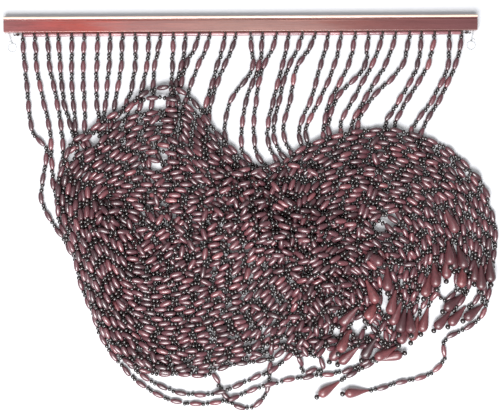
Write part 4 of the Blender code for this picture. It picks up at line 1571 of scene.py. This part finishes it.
@dataclass
class BeadStrands:
    """The 35 strands: oval and round beads on a thread, and a drop with its end bead on each."""

    pattern: BeadPattern
    palette: Palette
    spots: np.ndarray
    places: np.ndarray
    oval_sides: int = 10
    oval_rings: int = 7
    oval_fullness: float = 0.76
    round_sides: int = 8
    round_rings: int = 5
    round_cut: float = 0.97
    round_lip: float = 0.12
    drop_sides: int = 20
    drop_rings: int = 22
    drop_crowding: float = 1.35
    drop_neck: float = 0.0025
    drop_widest: float = 0.79
    drop_swell: float = 1.45
    drop_base: float = 1.003
    drop_flat: float = 0.02
    end_sides: int = 14
    end_rings: int = 9
    end_cut: float = 0.985
    end_squash: float = 0.94
    thread_width: float = 0.0009
    thread_overlap: float = 0.002
    sway: float = 0.0006
    seed: int = 41
    # the tones' middle and spread over the strands, their spread over one strand's beads, and the drops' both
    strand_tone: tuple[float, float] = (0.42, 0.08)
    bead_tone: float = 0.20
    drop_tone: tuple[float, float] = (0.50, 0.25)
    strand_grain: float = 0.5
    drop_grain: float = 0.3

    def __post_init__(self) -> None:
        """Let each bead sit a little off the thread, by the play of its hole, and note each bead's balls."""
        play = np.random.RandomState(self.seed).normal(0.0, self.sway, self.spots.shape[:2] + (2,))
        play[:, 0] = 0.0
        self.spots = self.spots.copy()
        self.spots[..., :2] += play
        just_under = 0.001
        self.oval_at = np.searchsorted(self.places, self.pattern.oval_places - just_under)
        self.round_at = np.searchsorted(self.places, self.pattern.round_places - just_under)

    def oval_profile(self) -> np.ndarray:
        """A spindle: the radius grows from the flat ends by a power of 1 less the squared distance.

        Returns:
            Rows of height along the axis and radius.
        """
        t = np.sin(np.linspace(-1.0, 1.0, self.oval_rings) * math.pi / 2)
        end, middle = self.pattern.oval_end / 2, self.pattern.oval_width / 2
        radius = end + (middle - end) * (1 - t**2) ** self.oval_fullness
        return np.stack([t * self.pattern.oval_length / 2, radius], axis=1)

    def round_profile(self) -> np.ndarray:
        """A ball cut flat at both ends, where the thread's hole opens.

        Returns:
            Rows of height along the axis and radius.
        """
        half, wide = self.pattern.round_length / 2, self.pattern.round_width / 2
        t = np.sin(np.linspace(-1.0, 1.0, self.round_rings) * math.pi / 2) * self.round_cut
        return np.stack([t * half, wide * np.sqrt(1 - t**2) + self.pattern.hole * self.round_lip], axis=1)

    def drop_profile(self) -> np.ndarray:
        """A pear: a thin neck swells by a sine to its widest near the end, and part of a circle closes it.

        Returns:
            Rows of distance from the neck and radius.
        """
        t = 1 - (1 - np.linspace(0.0, 1.0, self.drop_rings)) ** self.drop_crowding
        wide, widest = self.pattern.drop_width / 2, self.drop_widest
        swell = np.sin(math.pi / 2 * np.clip(t / widest, 0.0, 1.0) ** self.drop_swell)
        past = np.clip(t - widest, 0.0, 1.0) / (self.drop_base - widest)
        close = np.sqrt(np.clip(1 - past**2, self.drop_flat, 1.0))
        radius = (self.drop_neck + (wide - self.drop_neck) * swell) * close
        return np.stack([t * self.pattern.drop_length, radius], axis=1)

    def end_profile(self) -> np.ndarray:
        """The end bead: a ball cut flat at both ends and a little shorter than it is wide.

        Returns:
            Rows of height along the axis and radius.
        """
        t = np.sin(np.linspace(-1.0, 1.0, self.end_rings) * math.pi / 2) * self.end_cut
        radius = self.pattern.end_bead / 2
        return np.stack([t * radius * self.end_squash, np.sqrt(1 - t**2) * radius], axis=1)

    def ovals(self, k: int) -> tuple[np.ndarray, np.ndarray]:
        """Middle and direction of a strand's oval beads, from the three balls of each."""
        balls, at = self.spots[k], self.oval_at
        return (balls[at - 1] + balls[at] + balls[at + 1]) / 3, unit(balls[at + 1] - balls[at - 1])

    def line(self, k: int) -> np.ndarray:
        """A strand's thread: straight through each oval bead, then through the middles of the round ones.

        Args:
            k: the strand's number.

        Returns:
            The thread's points: the tie, the first round bead, then two ends and two round beads a repeat.
        """
        middle, axis = self.ovals(k)
        half = axis * self.pattern.oval_length / 2
        rounds = self.spots[k][self.round_at]
        repeats = np.stack([middle - half, middle + half, rounds[1::2], rounds[2::2]], axis=1).reshape(-1, 3)
        return np.concatenate([self.spots[k, :1], rounds[:1], repeats])

    def strand(self, k: int, chance: np.random.RandomState) -> bpy.types.Object:
        """Build one strand's beads and thread as one piece.

        Args:
            k: the strand's number.
            chance: where its tones are drawn from.

        Returns:
            The piece.
        """
        shell, line = Shell(), self.line(k)
        middle_tone, spread = self.strand_tone
        own = chance.normal(0.0, spread)
        rounds = np.sort(np.concatenate([np.arange(5, len(line), 4), np.arange(4, len(line), 4), [1]]))
        after = np.minimum(rounds + 1, len(line) - 1)
        along = unit(unit(line[after] - line[rounds] + TINY) + unit(line[rounds] - line[rounds - 1]))
        for centres, axes, profile, sides, slot in (
            (*self.ovals(k), self.oval_profile(), self.oval_sides, Slot.TURNED),
            (line[rounds], along, self.round_profile(), self.round_sides, Slot.ROUND),
        ):
            grid, local = lathe(profile, centres, axes, sides)
            tone = np.clip(middle_tone + own + chance.normal(0.0, self.bead_tone, len(centres)), 0.0, 1.0)
            local[..., 0] += self.strand_grain * k
            shell.add(grid, slot, tone, local)
        shell.add(tube(line, self.thread_width / 2, 4), Slot.THREAD)
        return shell.build(f"strand_{k + 1:02d}", [self.oval, self.round_bead, self.thread])

    def drop(self, k: int, chance: np.random.RandomState) -> bpy.types.Object:
        """Build one strand's drop and end bead as one piece.

        Args:
            k: the strand's number.
            chance: where the drop's tone is drawn from.

        Returns:
            The piece.
        """
        shell, shape = Shell(), self.pattern
        base = self.spots[k, -2][None]
        axis = unit(base - self.spots[k, -5][None])
        start = base - axis * shape.drop_balls[-1][0]
        grid, local = lathe(self.drop_profile(), start, axis, self.drop_sides)
        tone = np.clip(chance.normal(*self.drop_tone, 1), 0.0, 1.0)
        shell.add(grid, Slot.TURNED, tone, local + self.drop_grain * k)
        grid, local = lathe(self.end_profile(), start + axis * shape.end_place, axis, self.end_sides)
        shell.add(grid, Slot.ROUND, np.array([0.5]), local + self.drop_grain * k)
        overlap = axis * self.thread_overlap
        gap = np.concatenate([self.line(k)[-1:] - overlap, start + overlap])
        shell.add(tube(gap, self.thread_width / 2, 6), Slot.THREAD)
        return shell.build(f"drop_{k + 1:02d}", [self.drop_finish, self.round_bead, self.thread])

    def build(self) -> Iterator[bpy.types.Object]:
        """Build every strand and attach it to the body.

        Returns:
            The pieces as they are made.
        """
        self.oval, self.round_bead = self.palette.oval.material(), self.palette.round_bead.material()
        self.drop_finish, self.thread = self.palette.drop.material(), self.palette.thread.material()
        for k in range(len(self.spots)):
            chance = np.random.RandomState(self.seed + k)
            strand, drop = self.strand(k, chance), self.drop(k, chance)
            path = self.line(k)
            for piece in (strand, drop):
                place_piece(piece, "bead_comb")
            yield strand
            yield drop


@dataclass
class LacingRow:
    """The row of tube spacers under the bar, laced to it between the strands."""

    palette: Palette
    feet: np.ndarray
    bar_edge: float
    tube_width: float = 0.0070
    end_gap: float = 0.0022
    sides: int = 14
    # columns: place along half a tube, radius there as a share of the tube's
    tube_half: tuple[tuple[float, float], ...] = (
        (0.0, 1.0),
        (0.40, 1.0),
        (0.80, 0.98),
        (0.94, 0.93),
        (0.985, 0.80),
        (1.0, 0.58),
    )
    tube_tilt: tuple[float, float] = (0.012, 0.006)
    tube_tone: tuple[float, float] = (0.5, 0.2)
    tube_grain: float = 0.2
    cord_width: float = 0.0013
    cord_sides: int = 6
    wrap_sides: int = 5
    wrap_points: int = 9
    # columns: Y and Z from the foot
    wrap_low: tuple[tuple[float, float], ...] = ((-0.0046, -0.0004), (-0.0022, 0.0026))
    # columns: Y from the bar's edge, Z from the foot
    wrap_high: tuple[tuple[float, float], ...] = ((-0.0010, 0.0022), (0.0001, 0.0016))
    wrap_apart: float = 0.0006
    wrap_lean: float = 0.0007
    turn_places: tuple[float, float] = (-0.0008, 0.0009)
    turn_points: int = 18
    turn_radius: float = 0.0021
    turn_slant: float = 0.0004
    end_reach: float = 0.0075
    coil_turns: int = 3
    coil_points: int = 40
    coil_radius: float = 0.0015
    coil_pitch: float = 0.0005
    coil_sway: float = 0.0016
    # columns: X away from the row, Y and Z from the knot
    loose_end: tuple[Point, ...] = (
        (0.0, 0.0, 0.0),
        (0.0040, 0.0005, -0.0005),
        (0.0080, -0.0010, -0.0018),
        (0.0105, 0.0012, -0.0026),
    )
    loose_points: int = 14
    seed: int = 7

    def spacer_profile(self, length: float) -> np.ndarray:
        """A turned tube with rounded shoulders, as height along its axis and radius.

        Args:
            length: the tube's length.

        Returns:
            The rows, from end to end.
        """
        half = np.array(self.tube_half)
        whole = np.concatenate([half[:0:-1] * (-1.0, 1.0), half])
        return whole * (length / 2, self.tube_width / 2)

    def spacers(self) -> bpy.types.Object:
        """Build the tubes, each between two strands' feet.

        Returns:
            The piece.
        """
        chance = np.random.RandomState(self.seed)
        shell = Shell()
        for n, (a, b) in enumerate(zip(self.feet, self.feet[1:])):
            length = np.linalg.norm(b - a) - 2 * self.end_gap
            tilt = np.array([[0.0, *(chance.normal(0.0, spread) for spread in self.tube_tilt)]])
            axis = unit(unit(b - a)[None] + tilt)
            grid, local = lathe(self.spacer_profile(length), (a + b)[None] / 2, axis, self.sides)
            local[..., 0] += self.tube_grain * n
            shell.add(grid, Slot.TURNED, np.clip(chance.normal(*self.tube_tone, 1), 0, 1), local)
        return shell.build("spacer_tubes", [self.palette.spacer.material()])

    def wraps(self, shell: Shell, foot: np.ndarray) -> None:
        """Add the two wraps from a strand's foot up over the bar's edge, and the two turns round the foot.

        Args:
            shell: the lacing thread.
            foot: where the strand is tied.
        """
        up = self.bar_edge - foot[1]
        for way in (-1, 1):
            low = [(way * self.wrap_apart, y, z) for y, z in self.wrap_low]
            high = [(-way * self.wrap_lean, up + y, z) for y, z in self.wrap_high]
            path = bend(foot + np.array(low + high), self.wrap_points)
            shell.add(tube(path, self.cord_width / 2, self.wrap_sides))
        angles = np.arange(self.turn_points) * math.tau / self.turn_points
        for place in self.turn_places:
            ring = np.stack([
                place + self.turn_slant * np.cos(angles),
                self.turn_radius * np.cos(angles),
                self.turn_radius * np.sin(angles),
            ], axis=1)
            turn = tube(ring + foot, self.cord_width / 2, self.wrap_sides, closed=True)
            shell.add(turn, closed_ends=False)

    def end_knot(self, shell: Shell, spot: np.ndarray, way: float) -> None:
        """Add a knot of three turns and its loose end to the lacing thread.

        Args:
            shell: the lacing thread.
            spot: where the knot is.
            way: 1 for the row's right end and -1 for its left.
        """
        turn = np.linspace(0.0, self.coil_turns * math.tau, self.coil_points)
        sway = way * self.coil_pitch * turn / self.coil_turns + self.coil_sway * np.cos(turn * 0.5)
        coil = np.stack([sway, self.coil_radius * np.cos(turn), self.coil_radius * np.sin(turn)], axis=1)
        end = bend(spot + np.array(self.loose_end) * (way, 1.0, 1.0), self.loose_points)
        for path in (spot + coil, end):
            shell.add(tube(path, self.cord_width / 2, self.cord_sides))

    def ties(self) -> bpy.types.Object:
        """Build the lacing cord through the tubes, its wraps up to the bar, and its knots.

        Returns:
            The piece.
        """
        shell = Shell()
        reach = np.array([self.end_reach, 0.0, 0.0])
        left, right = self.feet[0] - reach, self.feet[-1] + reach
        run = np.concatenate([[left], self.feet, [right]])
        shell.add(tube(run, self.cord_width / 2, self.cord_sides))
        for foot in self.feet:
            self.wraps(shell, foot)
        self.end_knot(shell, left, -1.0)
        self.end_knot(shell, right, 1.0)
        return shell.build("lacing_thread", [self.palette.thread.material()])

    def build(self) -> Iterator[bpy.types.Object]:
        """Build and place the row's pieces.

        Returns:
            The pieces as they are made.
        """
        for piece in (self.spacers(), self.ties()):
            place_piece(piece, "bead_comb")
            yield piece


@dataclass
class HangingLoop:
    """A hanging loop of two twisted nylon lines out of the bar's edge, opened into a small ring."""

    palette: Palette
    node: str
    side: float
    line_width: float = 0.0007
    line_sides: int = 8
    ring_radius: float = 0.0080
    ring_middle: Point = (0.0091, 0.0091, 0.0012)
    ring_opening: float = 0.30
    ring_points: int = 48
    ring_waver: float = 0.05
    ring_lift: float = 0.0006
    top_height: float = 0.0042
    top_shift: tuple[float, float] = (-0.0060, 0.0040)
    stem_points: int = 60
    stem_turns: float = 2.5
    stem_apart: float = 0.0007
    stem_flat: float = 0.6
    stem_arch: float = 0.0008
    wrap_points: int = 36
    wrap_size: Point = (0.0012, 0.00015, 0.0011)
    wrap_lift: float = 0.0004
    # columns: X away from the bar's middle, Y and Z from the neck
    tail: tuple[Point, ...] = ((0.0040, 0.0045, 0.0006), (0.0075, 0.0030, 0.0002))
    tail_start: Point = (0.0010, 0.0010, 0.0)
    tail_points: int = 16

    def ring(self, middle: np.ndarray) -> np.ndarray:
        """The open ring's line: a circle whose radius and height waver a little with the angle.

        Args:
            middle: the ring's middle.

        Returns:
            The ring's points.
        """
        opening = self.ring_opening
        angles = np.linspace(opening, math.tau - opening, self.ring_points) + math.pi / 2
        radius = self.ring_radius * (1 + self.ring_waver * np.sin(3 * angles + self.side))
        lift = self.ring_lift * np.sin(2 * angles)
        return middle + np.stack([radius * np.cos(angles), radius * np.sin(angles), lift], axis=1)

    def stems(self, neck: np.ndarray, top: np.ndarray) -> Iterator[np.ndarray]:
        """The two lines that twist round each other from the ring's neck up to the bar.

        Args:
            neck: where they leave the ring.
            top: where they enter the bar.

        Returns:
            Each line's points.
        """
        t = np.linspace(0.0, 1.0, self.stem_points)
        rise = np.array([0.0, 0.0, self.stem_arch]) * np.sin(math.pi * t)[:, None]
        middle = neck * (1 - t)[:, None] + top * t[:, None] + rise
        for phase in (0.0, math.pi):
            turn = self.stem_turns * math.tau * t + phase
            swing = np.stack([np.cos(turn), np.zeros(len(t)), self.stem_flat * np.sin(turn)], axis=1)
            yield middle + self.stem_apart * swing

    def wrap(self, neck: np.ndarray) -> np.ndarray:
        """The line of the two turns that bind the neck: a flattened screw.

        Args:
            neck: where the ring closes.

        Returns:
            The line's points.
        """
        turn = np.linspace(0.0, 2 * math.tau, self.wrap_points)
        screw = np.stack([np.cos(turn), turn, np.sin(turn)], axis=1) * self.wrap_size
        return neck + screw + (0.0, 0.0, self.wrap_lift)

    def build(self) -> bpy.types.Object:
        """Build the loop in the place of its construction node.

        Returns:
            The piece.
        """
        low, high = (np.array(corner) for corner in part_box(self.node))
        x, y, z = self.ring_middle
        middle = np.array([low[0] + x, low[1] + y, z])
        top = np.array([middle[0] + self.top_shift[self.side > 0], high[1], self.top_height])
        ring = self.ring(middle)
        neck = (ring[0] + ring[-1]) / 2
        tail = [neck + self.tail_start] + [neck + (self.side * x, y, z) for x, y, z in self.tail]
        shell = Shell()
        for path in (ring, *self.stems(neck, top), self.wrap(neck), bend(tail, self.tail_points)):
            shell.add(tube(path, self.line_width / 2, self.line_sides))
        piece = shell.build(self.node + "_line", [self.palette.line.material()])
        place_piece(piece, self.node)
        return piece


@dataclass
class Bar:
    """The bar: a flat moulding with a round lip along its upper edge and a groove beside it."""

    palette: Palette
    lip_radius: float = 0.0034
    lip_drop: float = 0.0014
    lip_turn: float = 165.0
    lip_points: int = 19
    lip_gap: float = 0.0001
    groove_width: float = 0.0030
    groove_depth: float = 0.0016
    groove_slope: float = 0.0005
    groove_points: int = 7
    face_crown: float = 0.0003
    face_points: int = 13
    arris: float = 0.0012
    arris_points: int = 7
    end_arris: float = 0.0008
    end_step: float = 0.3
    length_points: int = 89

    def section(self, width: float, height: float) -> np.ndarray:
        """The moulding's outline, from its back's near edge round over the lip, groove and face.

        The lip and the near arris are arcs, the groove is the root of a sine and the face a low sine.

        Args:
            width: width across the bar.
            height: height of the lip over the back.

        Returns:
            Rows of distance across the bar and height.
        """
        face = height - (self.lip_radius - self.lip_drop)
        lip = np.array([width - self.lip_radius, face - self.lip_drop])
        turn = np.radians(np.linspace(0, self.lip_turn, self.lip_points))
        lip_arc = lip + self.lip_radius * np.stack([np.cos(turn), np.sin(turn)], axis=1)
        groove = lip[0] - self.lip_radius - self.lip_gap
        t = np.linspace(0.0, 1.0, self.groove_points)
        deep = self.groove_depth * np.sin(math.pi * (0.5 + 0.5 * t)) ** 0.5
        hollow = np.stack([groove - t * (self.groove_width - self.groove_slope), face - deep], axis=1)
        face_end = groove - self.groove_width
        u = np.linspace(0.0, 1.0, self.face_points)
        crown = self.face_crown * np.sin(math.pi * u) - self.face_crown
        flat = np.stack([face_end - u * (face_end - self.arris), face + crown], axis=1)
        turn = np.radians(np.linspace(90, 180, self.arris_points))[1:]
        arris = np.array([self.arris, face - self.arris - self.face_crown])
        near = arris + self.arris * np.stack([np.cos(turn), np.sin(turn)], axis=1)
        half = self.arris / 2
        back = np.array([(0.0, half), (half, 0.0), (width - half, 0.0), (width, half)])
        return np.concatenate([back, lip_arc, hollow, flat, near])

    def build(self) -> bpy.types.Object:
        """Build the bar in the place of its construction node, with lightly rounded ends.

        Returns:
            The piece.
        """
        low, high = (np.array(corner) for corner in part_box("bar"))
        size = high - low
        outline = self.section(size[1], size[2])
        middle = outline.mean(axis=0)
        inset, part = self.end_arris, self.end_step * self.end_arris
        inner = np.linspace(0.0, 1.0, self.length_points + 2)[1:-1]
        along = np.concatenate([
            [low[0], low[0] + part, low[0] + inset],
            low[0] + inset + inner * (size[0] - 2 * inset),
            [high[0] - inset, high[0] - part, high[0]],
        ])
        shrink = np.ones(len(along))
        shrink[[0, -1]] = 1 - inset / size[2]
        shrink[[1, -2]] = 1 - part / size[2]
        ring = middle + (outline - middle) * shrink[:, None, None]
        grid = np.empty((1, len(along), len(outline), 3))
        grid[0, ..., 0] = along[:, None]
        grid[0, ..., 1] = low[1] + ring[..., 0]
        grid[0, ..., 2] = ring[..., 1]
        shell = Shell()
        shell.add(grid)
        piece = shell.build("bar_lacquered", [self.palette.lacquer.material(low[0], size[0], high[1])])
        place_piece(piece, "bar")
        return piece


# ---------------------------------------------------------------- the studio


@dataclass
class Studio:
    """A pale floor, soft light from the curtain's lower side and overhead, and the camera above."""

    aim: Point = (-0.0023, 0.0073, 0.0)
    view_width: float = 0.9560
    camera_height: float = 1.75
    camera_roll: float = 0.3
    sensor: float = 36.0
    floor_half: float = 4.0
    floor_colours: tuple[Colour, Colour] = ((0.60, 0.605, 0.63), (0.62, 0.62, 0.64))
    floor_mottle: float = 3.0
    floor_rough: float = 0.75
    room_colour: Colour = (0.95, 0.98, 1.0)
    room_strength: float = 0.36
    # columns: name, place, width, height, watts
    lamps: tuple[tuple[str, Point, float, float, float], ...] = (
        ("window", (-0.25, -1.3, 1.9), 1.8, 1.3, 124.0),
        ("overhead", (-0.10, 0.5, 2.4), 1.0, 1.6, 14.0),
    )

    def floor(self) -> bpy.types.Object:
        """Build the floor just under the curtain.

        Returns:
            The floor, linked to the scene.
        """
        half = self.floor_half
        corners = [(-half, -half, 0), (half, -half, 0), (half, half, 0), (-half, half, 0)]
        mesh = bpy.data.meshes.new("pale_floor")
        mesh.from_pydata(corners, [], [(0, 1, 2, 3)])
        made, make, shader = new_material("pale_paper")
        place = make.add("TexCoord").outputs["Object"]
        mottle = make.add("TexNoise", Vector=place, Scale=self.floor_mottle).outputs[0]
        make.feed(shader, "Base Color", make.mix(mottle, *self.floor_colours))
        make.feed(shader, "Roughness", self.floor_rough)
        mesh.materials.append(made)
        piece = bpy.data.objects.new("pale_floor", mesh)
        bpy.context.scene.collection.objects.link(piece)
        return piece

    def light(self) -> None:
        """Add the lamps and the pale surroundings."""
        for name, place, width, height, watts in self.lamps:
            lamp = bpy.data.lights.new(name, "AREA")
            lamp.shape = "RECTANGLE"
            lamp.size, lamp.size_y = width, height
            lamp.energy = watts
            lit = bpy.data.objects.new(name, lamp)
            lit.location = Vector(place)
            lit.rotation_euler = (Vector(self.aim) - lit.location).to_track_quat("-Z", "Y").to_euler()
            bpy.context.scene.collection.objects.link(lit)
        world = bpy.data.worlds.new("pale_room")
        world.use_nodes = True
        background = world.node_tree.nodes["Background"].inputs
        background["Color"].default_value = (*self.room_colour, 1.0)
        background["Strength"].default_value = self.room_strength
        bpy.context.scene.world = world
        bpy.context.scene.view_settings.view_transform = "Standard"

    def camera(self) -> None:
        """Add the camera, straight above and turned by the small roll."""
        lens = bpy.data.cameras.new("camera")
        lens.sensor_width = self.sensor
        lens.lens = self.sensor * self.camera_height / self.view_width
        eye = bpy.data.objects.new("camera", lens)
        eye.location = Vector(self.aim) + Vector((0.0, 0.0, self.camera_height))
        eye.rotation_euler = (0.0, 0.0, -math.radians(self.camera_roll))
        bpy.context.scene.collection.objects.link(eye)
        bpy.context.scene.camera = eye

    def build(self) -> None:
        """Set up the whole studio."""
        self.camera()
        self.floor()
        self.light()


def main() -> None:
    """Build the studio and the curtain, and report each piece."""
    logging.basicConfig(level=logging.INFO, format="%(message)s")
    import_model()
    bar_low, bar_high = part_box("bar")
    Studio().build()

    routes = LaidRoutes(origin=np.array([(bar_low.x + bar_high.x) / 2, bar_low.y]))
    pattern = BeadPattern()
    places, radii = pattern.balls()
    start = Laying(routes.all_routes(), routes.step).spots(places)
    settled = Settling(places, radii, start).settle()
    LOG.info("settled %d strands of %d balls, highest %.4f", *settled.shape[:2], settled[..., 2].max())

    palette = Palette()
    made = [Bar(palette).build()]
    made += LacingRow(palette, settled[:, 0], bar_low.y).build()
    made += [
        HangingLoop(palette, "hang_loop_left", -1.0).build(),
        HangingLoop(palette, "hang_loop_right", 1.0).build(),
    ]
    made += BeadStrands(pattern, palette, settled, places).build()
    for piece in made:
        LOG.info("%s: %d faces", piece.name, len(piece.data.polygons))


if __name__ == "__main__":
    main()
